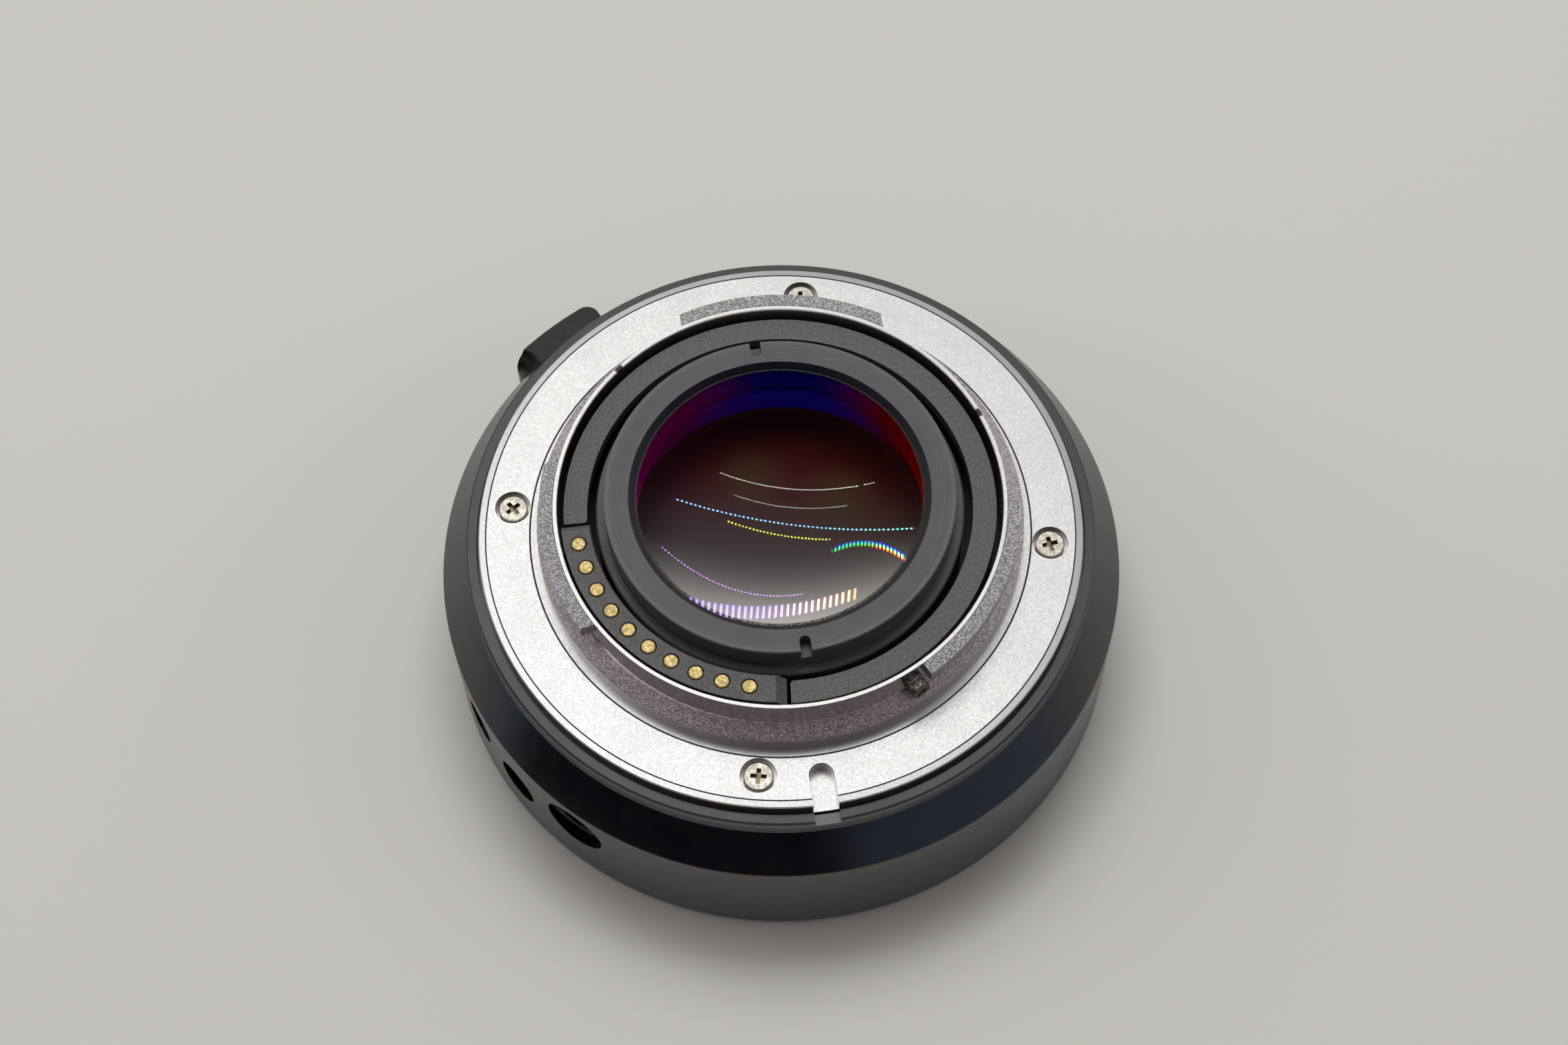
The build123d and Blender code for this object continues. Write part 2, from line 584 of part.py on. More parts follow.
with BuildPart() as board_screw_set:
    head_low = board_top + TOUCH
    extrude(discs(head_low, SMALL_HEAD_R, board_screws), amount=SMALL_HEAD_HEIGHT)
    extrude(discs(head_low - 2.8, SMALL_SHANK_R, board_screws), amount=2.8)
    for radius, angle in board_screws:
        centre = Plane((*polar(radius, angle), head_low + SMALL_HEAD_HEIGHT))
        extrude(cross(centre, 1.2, 0.3, angle), amount=-0.35, mode=Mode.SUBTRACT)
save(board_screw_set, "board_screws")


def chip_plane(radius, angle, z):
    """Plane on the board, turned so that its x axis points outwards."""
    return Plane((*polar(radius, angle), z), x_dir=(*polar(1, angle), 0), z_dir=(0, 0, 1))


with BuildPart() as controller_chip:
    with BuildSketch(chip_plane(24.4, 152, board_top)):
        Rectangle(4.2, 4.2)
    extrude(amount=0.9)
    chamfer(controller_chip.edges().group_by(Axis.Z)[-1], 0.12)
save(controller_chip, "controller_chip")

with BuildPart() as regulator_chip:
    with BuildSketch(chip_plane(24.4, -68, board_top)):
        Rectangle(3.0, 4.6)
    extrude(amount=1.1)
    chamfer(regulator_chip.edges().group_by(Axis.Z)[-1], 0.12)
save(regulator_chip, "regulator_chip")

with BuildPart() as chip_capacitors:
    for angle in (132, 138, 168, 174, 205, -92, -80, -55, -26, -20):
        with BuildSketch(chip_plane(24.6, angle, board_top)):
            Rectangle(1.6, 0.8)
        extrude(amount=0.8)
save(chip_capacitors, "chip_capacitors")

# Ribbon from the ten studs to its connector on the board
flex_start, flex_sweep = BOTTOM_ANGLE - 16, 32
connector_top = board_top + 0.9
ribbon_low, bend_r = RIBBON_Z - RIBBON_THICKNESS, 22.9
with BuildPart() as flex_connector:
    extrude(
        ring_sector(bend_r - 0.8, bend_r + 1, flex_start - 2, flex_sweep + 4, board_top),
        amount=connector_top - board_top,
    )
save(flex_connector, "flex_connector")
with BuildPart() as camera_flex:
    extrude(ring_sector(18.3, 20.3, PAD_FIRST - 2, 72, ribbon_low), amount=RIBBON_THICKNESS)
    extrude(ring_sector(20.2, bend_r, flex_start, flex_sweep, ribbon_low), amount=RIBBON_THICKNESS)
    extrude(
        ring_sector(bend_r - RIBBON_THICKNESS, bend_r, flex_start, flex_sweep, connector_top),
        amount=RIBBON_Z - connector_top,
    )
save(camera_flex, "camera_flex")

# Lens mount: ring with a register bore, three inner lugs behind it and countersunk screw holes
with BuildPart() as lens_mount:
    revolve(
        half_section(
            (LENS_THROAT_R, 0),
            (MOUNT_RING_R - 0.25, 0),
            (MOUNT_RING_R, 0.25),
            (MOUNT_RING_R, MOUNT_RING_TOP),
            (LUG_ROOM_R, MOUNT_RING_TOP),
            (LUG_ROOM_R, THROAT_LENGTH),
            (LENS_THROAT_R, THROAT_LENGTH),
        )
    )
    for start in LENS_LUG_STARTS:
        lug = ring_sector(LENS_LUG_R, LUG_ROOM_R + 0.2, start, LENS_LUG_SWEEP, THROAT_LENGTH)
        extrude(lug, amount=MOUNT_RING_TOP - THROAT_LENGTH)
    with Locations(*[Location((*polar(*place), 0), (180, 0, 0)) for place in mount_screws]):
        CounterSinkHole(radius=TAPPED_R, counter_sink_radius=1.5, depth=MOUNT_RING_TOP)
    extrude(discs(0, LOCK_PIN_R + CLEAR, lock_pin_place), amount=MOUNT_RING_TOP, mode=Mode.SUBTRACT)
    extrude(discs(0, INDEX_DOT_R, index_dot_place), amount=0.4, mode=Mode.SUBTRACT)
save(lens_mount, "lens_mount")

with BuildPart() as lens_mount_screws:
    for radius, angle in mount_screws:
        x, y = polar(radius, angle)
        with BuildSketch(Plane((x, y, 0), x_dir=(1, 0, 0), z_dir=(0, -1, 0))):
            with BuildLine():
                Polyline((0, 0.06), (1.36, 0.06), (0.78, 0.72), (0.78, 6.2), (0, 6.2), close=True)
            make_face()
        revolve(axis=Axis((x, y, 0), (0, 0, 1)))
        extrude(cross(Plane((x, y, 0.06)), 1.5, 0.36, angle), amount=0.5, mode=Mode.SUBTRACT)
save(lens_mount_screws, "lens_mount_screws")

# Alignment dot let into the mount's face
with BuildPart() as lens_index_dot:
    extrude(discs(0.04, INDEX_DOT_R - TOUCH, index_dot_place), amount=0.34)
save(lens_index_dot, "lens_index_dot")

# Leaf spring behind the lens mount: a thin ring with three leaves
leaf_low, leaf_ring_inner = MOUNT_RING_TOP + TOUCH, 27.6
with BuildPart() as mount_leaf_spring:
    revolve(box_section(leaf_ring_inner, SPRING_SEAT_R - 0.1, leaf_low, leaf_low + LEAF_THICKNESS))
    for start in LENS_LUG_STARTS:
        leaf = ring_sector(LENS_LUG_R + 0.4, leaf_ring_inner + 0.1, start + 8, 40, leaf_low)
        extrude(leaf, amount=LEAF_THICKNESS)
        slit = ring_sector(leaf_ring_inner - 0.25, leaf_ring_inner, start + 16, 33, leaf_low)
        extrude(slit, amount=LEAF_THICKNESS, mode=Mode.SUBTRACT)
save(mount_leaf_spring, "mount_leaf_spring")

# Lens contact block: bored for eight sprung pins, with an ear and a screw at each end
block_low, block_top, ear_low = 6.2, 12.1, 7.4
block_inner, block_outer = 21.65, 24.85
pin_guide_top = block_low + 0.9
with BuildPart() as lens_contact_block:
    body = ring_sector(block_inner, block_outer, BOTTOM_ANGLE - 27, 54, block_low)
    extrude(body, amount=block_top - block_low)
    ears = ring_sector(block_inner, block_outer, BOTTOM_ANGLE - 34.5, 69, ear_low)
    extrude(ears, amount=frame_low - TOUCH - ear_low)
    pins = [(PIN_CIRCLE_R, angle) for angle in pin_angles]
    extrude(discs(block_low, PIN_R + 0.04, pins), amount=1.0, mode=Mode.SUBTRACT)
    extrude(discs(pin_guide_top, PIN_COLLAR_R + 0.06, pins), amount=5.0, mode=Mode.SUBTRACT)
    extrude(discs(ear_low, SMALL_PASSING_R, block_ears), amount=3, mode=Mode.SUBTRACT)
save(lens_contact_block, "lens_contact_block")

block_screw_low = ear_low - TOUCH - SMALL_HEAD_HEIGHT
with BuildPart() as lens_contact_block_screws:
    extrude(discs(block_screw_low, SMALL_HEAD_R, block_ears), amount=SMALL_HEAD_HEIGHT)
    fillet(lens_contact_block_screws.edges().group_by(Axis.Z)[0], 0.15)
    extrude(discs(ear_low - TOUCH, SMALL_SHANK_R, block_ears), amount=3.6)
    for radius, angle in block_ears:
        centre = Plane((*polar(radius, angle), block_screw_low))
        extrude(cross(centre, 1.3, 0.32, angle), amount=0.4, mode=Mode.SUBTRACT)
save(lens_contact_block_screws, "lens_contact_block_screws")

# Eight sprung contact pins and their springs. A spring is a sleeve of its coil's inner and outer size.
collar_low, collar_high, tail_top = pin_guide_top + CLEAR, 8.0, 9.4
pin_spring_low = collar_high + TOUCH
for number, angle in enumerate(pin_angles, start=1):
    x, y = polar(PIN_CIRCLE_R, angle)
    axis = Axis((x, y, 0), (0, 0, 1))
    upright_here = Plane((x, y, 0), x_dir=(1, 0, 0), z_dir=(0, -1, 0))
    with BuildPart() as contact_pin:
        with BuildSketch(upright_here):
            with BuildLine():
                ThreePointArc((0, PIN_TIP_Z), (0.34, PIN_TIP_Z + 0.13), (PIN_R, PIN_TIP_Z + 0.45))
                Polyline(
                    (PIN_R, PIN_TIP_Z + 0.45),
                    (PIN_R, collar_low),
                    (PIN_COLLAR_R, collar_low),
                    (PIN_COLLAR_R, collar_high),
                    (PIN_TAIL_R, collar_high),
                    (PIN_TAIL_R, tail_top),
                    (0, tail_top),
                    (0, PIN_TIP_Z),
                )
            make_face()
        revolve(axis=axis)
    save(contact_pin, f"contact_pin_{number}")
    with BuildPart() as contact_spring:
        with BuildSketch(Plane((x, y, pin_spring_low))):
            Circle(PIN_COLLAR_R - 0.04)
            Circle(PIN_TAIL_R + 0.08, mode=Mode.SUBTRACT)
        extrude(amount=block_top - pin_spring_low)
    save(contact_spring, f"contact_spring_{number}")

# Thin plate that blackens the frame on the lens side
with BuildPart() as front_baffle:
    plate = ring_sector(THREAD_R + 0.3, SKIRT_INNER_R - 0.1, -91.0, 288.0, frame_low - 0.45)
    extrude(plate, amount=0.42)
save(front_baffle, "front_baffle")

# Lock pin: tip level with the mount face while the adapter stands on it, collar under its spring
pin_x, pin_y = polar(LOCK_PIN_CIRCLE_R, LOCK_PIN_ANGLE)
pin_top = 12.3
with BuildPart() as lock_pin:
    with BuildSketch(Plane((pin_x, pin_y, 0), x_dir=(1, 0, 0), z_dir=(0, -1, 0))):
        with BuildLine():
            Polyline(
                (0, CLEAR),
                (LOCK_PIN_R - 0.2, CLEAR),
                (LOCK_PIN_R, CLEAR + 0.2),
                (LOCK_PIN_R, COLLAR_LOW),
                (COLLAR_R, COLLAR_LOW),
                (COLLAR_R, COLLAR_TOP),
                (LOCK_PIN_R, COLLAR_TOP),
                (LOCK_PIN_R, pin_top),
                (0, pin_top),
                close=True,
            )
        make_face()
    revolve(axis=Axis((pin_x, pin_y, 0), (0, 0, 1)))
save(lock_pin, "lock_pin")
with BuildPart() as lock_pin_spring:
    with BuildSketch(Plane((pin_x, pin_y, COLLAR_TOP + TOUCH))):
        Circle(COLLAR_R - 0.1)
        Circle(LOCK_PIN_R + 0.15, mode=Mode.SUBTRACT)
    extrude(amount=LEVER_POCKET_TOP - COLLAR_TOP - 2 * TOUCH)
save(lock_pin_spring, "lock_pin_spring")

# Release lever: finger tab outside, stem through the slot, curved plate with a ramp under the collar
ramp_end = LOCK_PIN_ANGLE + 2.1
ramp_start = ramp_end - LEVER_TRAVEL
ramp_top = COLLAR_LOW - 0.1
ramp_low = ramp_top - LOCK_PIN_TRAVEL
plate = (PLATE_INNER_R, PLATE_OUTER_R)
plate_start, arm_start = 129.6, 146.4
half_run = radians(LEVER_TRAVEL / 2) * PLATE_INNER_R
with BuildPart() as release_lever:
    extrude(ring_sector(*plate, plate_start, arm_start + 0.1 - plate_start, LEVER_FOOT_Z), amount=7.3)
    arm = ring_sector(*plate, arm_start, ramp_start - arm_start, LEVER_FOOT_Z)
    extrude(arm, amount=ramp_low - LEVER_FOOT_Z)
    ramp = ring_sector(*plate, ramp_start, LEVER_TRAVEL, LEVER_FOOT_Z)
    extrude(ramp, amount=ramp_top - LEVER_FOOT_Z)
    with BuildSketch(facing_out(ramp_end - LEVER_TRAVEL / 2, PLATE_INNER_R - 1, 0)):
        with BuildLine():
            Polyline(
                (ramp_top, -half_run),
                (ramp_low, half_run),
                (ramp_low, half_run + 0.5),
                (ramp_top + 1, half_run + 0.5),
                (ramp_top + 1, -half_run),
                close=True,
            )
        make_face()
    extrude(amount=3, mode=Mode.SUBTRACT)
    extrude(ring_sector(PLATE_OUTER_R - 0.1, BARREL_R + 0.4, 130.5, 7.0, 6.6), amount=3.0)
    extrude(
        ring_sector(BARREL_R + 0.15, TAB_OUTER_R, TAB_START, TAB_SWEEP, TAB_FOOT_Z),
        amount=TAB_TOP_Z - TAB_FOOT_Z,
    )
    tall = release_lever.edges().filter_by(Axis.Z).filter_by(lambda e: e.length > 5.9)
    outer_corners = [e for e in tall if Vector(e.center().X, e.center().Y).length > TAB_OUTER_R - 0.5]
    fillet(outer_corners, 1.3)
    # Round hollow at the end that the fingertip pushes
    hollow = (*polar(34.7, TAB_START + TAB_SWEEP + 0.2), TAB_TOP_Z + 0.9)
    with Locations(hollow):
        Sphere(2.5, mode=Mode.SUBTRACT)
save(release_lever, "release_lever")
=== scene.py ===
import math
from collections import namedtuple

import bmesh
import bpy
from mathutils import Matrix, Vector


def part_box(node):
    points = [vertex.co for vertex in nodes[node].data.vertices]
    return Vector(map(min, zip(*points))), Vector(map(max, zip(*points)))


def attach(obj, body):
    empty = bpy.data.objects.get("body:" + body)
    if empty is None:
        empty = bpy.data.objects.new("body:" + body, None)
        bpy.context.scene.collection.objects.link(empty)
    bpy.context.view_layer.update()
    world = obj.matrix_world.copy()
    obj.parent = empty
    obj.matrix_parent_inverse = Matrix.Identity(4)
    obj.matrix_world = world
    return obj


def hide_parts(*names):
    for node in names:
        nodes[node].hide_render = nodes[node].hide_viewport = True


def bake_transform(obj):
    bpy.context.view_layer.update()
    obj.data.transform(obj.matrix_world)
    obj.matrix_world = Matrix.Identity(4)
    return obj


# Looks of a lens mount adapter that lies on its lens side. Sizes are written in millimetres and
# become metres where a mesh, a lamp or the camera is made.

MM = 0.001
FLANGE_Z = 19.6
BOSS_TOP = FLANGE_Z + 1.75
TUBE_TOP = FLANGE_Z + 5.2
RING_TOP = FLANGE_Z + 6.65
BARREL_R = 32.8
PALE = (0.57, 0.565, 0.545, 1)

# Tripod socket: 1/4-20 thread in the barrel's wall
SOCKET_ANGLE, SOCKET_Z, SOCKET_R, SOCKET_DEPTH = -122.1, 8.8, 3.175, 4.5
THREAD_PITCH, THREAD_MINOR_R = 1.27, 2.55

# Cemented pair of glasses: flat rim, shallow caps
PAIR_LOW, PAIR_TOP, PAIR_R, CAP_R = 16.4, 21.6, 14.75, 13.5
PAIR_TOP_BULGE, PAIR_LOW_BULGE = 0.8, 0.5

# Row of small lamps above and behind the part, which polished glass mirrors. Angles are degrees.
LAMP_ROW_ELEVATION, LAMP_ROW_REACH, LAMP_SPACING = 68.0, 38.0, 1.27
LAMP_ROW_HALF_WIDTH = 0.30
LAMP_ROW_GAP = (31.0, 33.0)
LAMP_GLOW = 13.0

# Place that the photograph was taken from
VIEWER = Vector((11.205, -117.07, 246.91))

# Image of the row of lamps in one surface of the glasses. It runs through three given points of the rear
# glass.
# The lamps are the angles in the row that show at its two ends, and the bend is
# how fast the surface leans across the image, in 1/mm: the slower, the broader the image.
# Then come the tint of the coating at both ends, its strength, and how far its colours part in mm.
LampArc = namedtuple("LampArc", "start middle end lamps bend tint end_tint share fringe")
LAMP_ARCS = [
    LampArc((-5.7, 1.2), (1.3, -0.2), (8.7, 1.4), (-38, 38), -0.090,
            (0.9, 0.8, 0.8), (0.8, 0.9, 0.8), 0.20, 0),
    LampArc((-3.6, -1.3), (1.7, -2.1), (5.8, -1.5), (-33, 27), -0.090,
            (0.8, 0.8, 0.7), (0.8, 0.9, 0.8), 0.11, 0),
    LampArc((-9.6, -1.6), (0.6, -3.8), (13.4, -2.5), (-38, 33), -0.045,
            (0.16, 0.36, 0.75), (0.16, 0.72, 0.70), 0.26, 0),
    LampArc((-4.6, -3.8), (0.7, -5.0), (4.6, -5.0), (-38, -2), -0.045,
            (0.60, 0.58, 0.04), (0.60, 0.72, 0.08), 0.22, 0),
    LampArc((5.8, -5.8), (8.2, -5.0), (12.0, -5.8), (8, 31), -0.016,
            (0.03, 0.40, 0.28), (1.0, 1.0, 0.9), 0.36, 0.12),
    LampArc((-10.5, -6.3), (-4.0, -10.2), (2.4, -10.5), (-38, 16), -0.070,
            (0.60, 0.22, 0.95), (0.5, 0.3, 0.9), 0.22, 0),
    LampArc((-7.5, -11.7), (-0.6, -12.4), (7.3, -10.0), (-34, 0), -0.007,
            (0.32, 0.22, 0.9), (1.0, 0.5, 0.25), 0.15, 0),
]
LAMP_ARC_MARGIN = 0.4
LAMP_ARC_FADE = (0.012, 0.024)

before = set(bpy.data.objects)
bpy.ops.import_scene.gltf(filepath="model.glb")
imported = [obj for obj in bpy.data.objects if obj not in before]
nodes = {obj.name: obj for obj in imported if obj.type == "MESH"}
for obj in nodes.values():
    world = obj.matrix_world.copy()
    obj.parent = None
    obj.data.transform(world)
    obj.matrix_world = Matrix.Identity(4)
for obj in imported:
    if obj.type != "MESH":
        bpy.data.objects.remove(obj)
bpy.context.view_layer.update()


def ring_point(radius, angle, height):
    """Point at a radius, an angle in degrees and a height, in millimetres."""
    turn = math.radians(angle)
    return Vector((radius * math.cos(turn), radius * math.sin(turn), height))


def half_way(place, lamp):
    """Two slopes of a mirror on the rear glass that shows a lamp of the row to the photograph's viewer."""
    elevation, turn = math.radians(LAMP_ROW_ELEVATION), math.radians(lamp)
    along_row = math.cos(turn)
    to_lamp = Vector((math.sin(turn), along_row * math.cos(elevation), along_row * math.sin(elevation)))
    to_viewer = (VIEWER - Vector((*place, RING_TOP))).normalized()
    middle = to_lamp + to_viewer
    return middle.x / middle.z, middle.y / middle.z


def grey(value, warm=0.0):
    """Neutral colour, warmer with a positive second number."""
    return (value * (1 + warm), value, value * (1 - warm), 1.0)


class Shading:
    """A node tree of a material or a world, built with short calls."""

    def __init__(self, tree):
        self.tree = tree
        tree.nodes.clear()

    def add(self, kind, sockets=None, **settings):
        node = self.tree.nodes.new("ShaderNode" + kind)
        for key, value in settings.items():
            setattr(node, key, value)
        for key, value in (sockets or {}).items():
            self.put(node.inputs[key], value)
        return node

    def put(self, socket, value):
        if isinstance(value, bpy.types.NodeSocket):
            self.tree.links.new(value, socket)
        else:
            socket.default_value = value

    def maths(self, operation, *values):
        return self.add("Math", dict(enumerate(values)), operation=operation).outputs[0]

    def vector(self, operation, *values):
        node = self.add("VectorMath", dict(enumerate(values)), operation=operation)
        return node.outputs["Value" if operation in ("LENGTH", "DISTANCE", "DOT_PRODUCT") else "Vector"]

    def spread(self, value, low, high, to_low=0.0, to_high=1.0):
        """Smooth step of a value from one range to another, held outside it."""
        ranges = {"From Min": low, "From Max": high, "To Min": to_low, "To Max": to_high}
        node = self.add("MapRange", {"Value": value, **ranges}, interpolation_type="SMOOTHSTEP")
        return node.outputs["Result"]

    def zone(self, value, low, high, soft=0.03):
        """1 between two values and 0 outside them."""
        rise = self.spread(value, low - soft, low + soft)
        fall = self.spread(value, high - soft, high + soft, 1.0, 0.0)
        return self.maths("MULTIPLY", rise, fall)

    def both(self, *masks):
        result = masks[0]
        for mask in masks[1:]:
            result = self.maths("MULTIPLY", result, mask)
        return result

    def parabola(self, value, points):
        """Curve through three points."""
        (x_0, y_0), (x_1, y_1), (x_2, y_2) = points
        rise = (y_1 - y_0) / (x_1 - x_0)
        bow = ((y_2 - y_1) / (x_2 - x_1) - rise) / (x_2 - x_0)
        slope = self.maths("MULTIPLY_ADD", self.maths("SUBTRACT", value, x_1), bow, rise)
        return self.maths("MULTIPLY_ADD", self.maths("SUBTRACT", value, x_0), slope, y_0)

    def mix(self, share, first, second, blend="MIX"):
        node = self.add("Mix", {0: share, 6: first, 7: second}, data_type="RGBA", blend_type=blend)
        return node.outputs[2]

    def blend(self, share, first, second):
        """Number between two numbers."""
        return self.add("Mix", {0: share, 2: first, 3: second}, data_type="FLOAT").outputs[0]


class Finish(Shading):
    """A material. Lengths inside it are millimetres."""

    def __init__(self, name):
        self.material = bpy.data.materials.new(name)
        self.material.use_nodes = True
        super().__init__(self.material.node_tree)
        ring = self.tree.nodes.new("ShaderNodeGroup")
        ring.node_tree = ring_coordinates
        self.point = ring.outputs["Point"]
        self.x = ring.outputs["X"]
        self.y = ring.outputs["Y"]
        self.radius = ring.outputs["Radius"]
        self.height = ring.outputs["Height"]
        self.around = ring.outputs["Around"]

    def noise(self, scale, detail=2.0, rough=0.5, where=None, distortion=0.0):
        """Noise of about 0 to 1. The scale is in features per millimetre."""
        settings = {"Scale": scale, "Detail": detail, "Roughness": rough, "Distortion": distortion}
        return self.add("TexNoise", {"Vector": where or self.point, **settings}).outputs["Fac"]

    def grains(self, scale, where=None):
        """Distance to the nearest of scattered points."""
        return self.add("TexVoronoi", {"Vector": where or self.point, "Scale": scale}).outputs["Distance"]

    def turned(self, scale, sweep=1.5):
        """Fine lines left by a lathe: noise on radius and height that changes slowly round the ring."""
        across = self.add("CombineXYZ", {"X": self.maths("MULTIPLY", self.radius, scale),
                                         "Z": self.maths("MULTIPLY", self.height, scale)}).outputs[0]
        slow = self.vector("SCALE", self.around)
        self.put(slow.node.inputs["Scale"], sweep)
        return self.noise(1.0, 3.0, 0.6, self.vector("ADD", across, slow))

    def scratches(self, angle, density=0.5, length=0.22, width=16.0, seed=0.0):
        """Sparse straight scratches that run at an angle in the XY plane."""
        turn = self.add("Mapping", {"Vector": self.point, "Rotation": (0.0, 0.0, math.radians(-angle)),
                                    "Scale": (length, width, length), "Location": (seed, seed, 0.0)})
        lines = self.spread(self.noise(1.0, 1.0, 0.5, turn.outputs[0]), 0.70, 0.76)
        patches = self.spread(self.noise(0.35, 1.0, 0.5), 0.62 - 0.2 * density, 0.72 - 0.2 * density)
        return self.both(lines, patches)

    def spot(self, radius, angle, height, size, soft=0.3):
        """1 near one point of the ring."""
        gap = self.vector("DISTANCE", self.point, ring_point(radius, angle, height))
        return self.spread(gap, size * (1 - soft), size * (1 + soft), 1.0, 0.0)

    def bump(self, height, depth, strength=1.0, normal=None):
        """Bump whose full height is a depth in millimetres."""
        sockets = {"Height": height, "Distance": depth * MM, "Strength": strength}
        if normal:
            sockets["Normal"] = normal
        return self.add("Bump", sockets).outputs["Normal"]

    def principled(self, **sockets):
        """Principled shader. Names of sockets are written with underscores."""
        names = {key.replace("_", " "): value for key, value in sockets.items()}
        return self.add("BsdfPrincipled", names).outputs[0]

    def glossy(self, tint, rough, normal=None):
        sockets = {"Color": tint, "Roughness": rough}
        if normal:
            sockets["Normal"] = normal
        return self.add("BsdfGlossy", sockets).outputs[0]

    def layered(self, share, below, above):
        return self.add("MixShader", {0: share, 1: below, 2: above}).outputs[0]

    def with_added(self, *shaders):
        result = shaders[0]
        for shader in shaders[1:]:
            result = self.add("AddShader", {0: result, 1: shader}).outputs[0]
        return result

    def show(self, shader):
        self.add("OutputMaterial", {"Surface": shader})
        return self.material

    def surface(self, **sockets):
        return self.show(self.principled(**sockets))

    def sloped(self, slope_x, slope_y):
        """Upward direction that leans by two slopes."""
        up = self.add("CombineXYZ", {"X": slope_x, "Y": slope_y, "Z": 1.0}).outputs[0]
        return self.vector("NORMALIZE", up)

    def lamp_arc(self, arc):
        """Mirror with slopes of its own, which shows the row of lamps along a curve on the glass."""
        low, high = arc.start[0], arc.end[0]
        share_of_way = (arc.middle[0] - low) / (high - low)
        first, last = arc.lamps
        places = (arc.start, arc.middle, arc.end)
        lamps = (first, first + share_of_way * (last - first), last)
        slopes = [half_way(place, lamp) for place, lamp in zip(places, lamps)]
        bend_across = (slopes[2][0] - slopes[0][0]) / (high - low)
        slope_x = self.maths("MULTIPLY_ADD", self.x, bend_across, slopes[0][0] - bend_across * low)
        on_curve = self.parabola(self.x, [(place[0], slope[1]) for place, slope in zip(places, slopes)])
        away = self.maths("SUBTRACT", self.y, self.parabola(self.x, places))
        inside = self.zone(self.x, low - LAMP_ARC_MARGIN, high + LAMP_ARC_MARGIN, 0.4)
        ramp = self.spread(self.x, 0.6 * low + 0.4 * high, high)
        tint = self.mix(ramp, (*arc.tint, 1), (*arc.end_tint, 1))
        colours = {-arc.fringe: (1, 0, 0, 1), 0.0: (0, 1, 0, 1), arc.fringe: (0, 0, 1, 1)}
        if not arc.fringe:
            colours = {0.0: (1, 1, 1, 1)}
        mirrors = []
        for shift, colour in colours.items():
            lean = self.maths("MULTIPLY", self.maths("SUBTRACT", away, shift), arc.bend)
            normal = self.sloped(slope_x, self.maths("ADD", lean, on_curve))
            near = self.spread(self.maths("ABSOLUTE", lean), *LAMP_ARC_FADE, arc.share, 0.0)
            shown = self.mix(self.both(inside, near), (0, 0, 0, 1), tint)
            mirrors.append(self.glossy(self.mix(1.0, shown, colour, "MULTIPLY"), 0.0, normal))
        return self.with_added(*mirrors)


def make_ring_coordinates():
    """Node group: the point in millimetres, its radius and height, and its direction round the axis."""
    tree = bpy.data.node_groups.new("ring_coordinates", "ShaderNodeTree")
    outputs = {"Point": "Vector", "X": "Float", "Y": "Float", "Radius": "Float", "Height": "Float",
               "Around": "Vector"}
    for name, kind in outputs.items():
        tree.interface.new_socket(name, in_out="OUTPUT", socket_type="NodeSocket" + kind)
    group = Shading(tree)
    where = group.add("TexCoord").outputs["Object"]
    point = group.vector("SCALE", where)
    group.put(point.node.inputs["Scale"], 1 / MM)
    flat = group.vector("MULTIPLY", point, (1, 1, 0))
    parts = group.add("SeparateXYZ", {0: point}).outputs
    results = {"Point": point, "X": parts["X"], "Y": parts["Y"], "Radius": group.vector("LENGTH", flat),
               "Height": parts["Z"], "Around": group.vector("NORMALIZE", flat)}
    out = tree.nodes.new("NodeGroupOutput")
    for name, socket in results.items():
        group.put(out.inputs[name], socket)
    return tree


ring_coordinates = make_ring_coordinates()


def black_anodised():
    """Barrel: glossy black cone; satin wall with a lighter grey that is partly painted light; lighter where
    the slot cuts the ledge.
    """
    f = Finish("black_anodised")
    cloud = f.spread(f.noise(0.9, 3.0, 0.6), 0.35, 0.70)
    cone = f.mix(cloud, (0.0008, 0.0012, 0.0040, 1), (0.0024, 0.0024, 0.0050, 1))
    # The wall's lighter grey is partly its rougher satin finish and partly painted light for the pale table
    # that it mirrors.
    wall = f.mix(cloud, (0.0370, 0.0335, 0.0315, 1), (0.0420, 0.0380, 0.0360, 1))
    on_wall = f.spread(f.radius, BARREL_R - 0.10, BARREL_R - 0.02)
    base = f.mix(on_wall, cone, wall)
    slot = f.both(f.zone(f.height, FLANGE_Z - 1.7, FLANGE_Z - 1.2), f.zone(f.radius, 27.0, 31.0))
    base = f.mix(slot, base, grey(0.07))
    ledge = f.zone(f.height, FLANGE_Z - 1.05, FLANGE_Z - 0.9)
    base = f.mix(ledge, base, grey(0.012))
    base = f.mix(f.maths("MULTIPLY", f.scratches(35, 0.4, seed=4.0), 0.5), base, grey(0.05))
    rough = f.blend(f.maths("MAXIMUM", ledge, on_wall), 0.20, 0.30)
    rough = f.maths("ADD", rough, f.spread(f.noise(0.35, 2.0), 0.3, 0.7, -0.02, 0.03))
    grain = f.maths("ADD", f.noise(9.0, 2.0), f.maths("MULTIPLY", f.turned(3.0), 0.4))
    return f.surface(Base_Color=base, Roughness=rough, Normal=f.bump(grain, 0.003, 0.7), IOR=1.7)


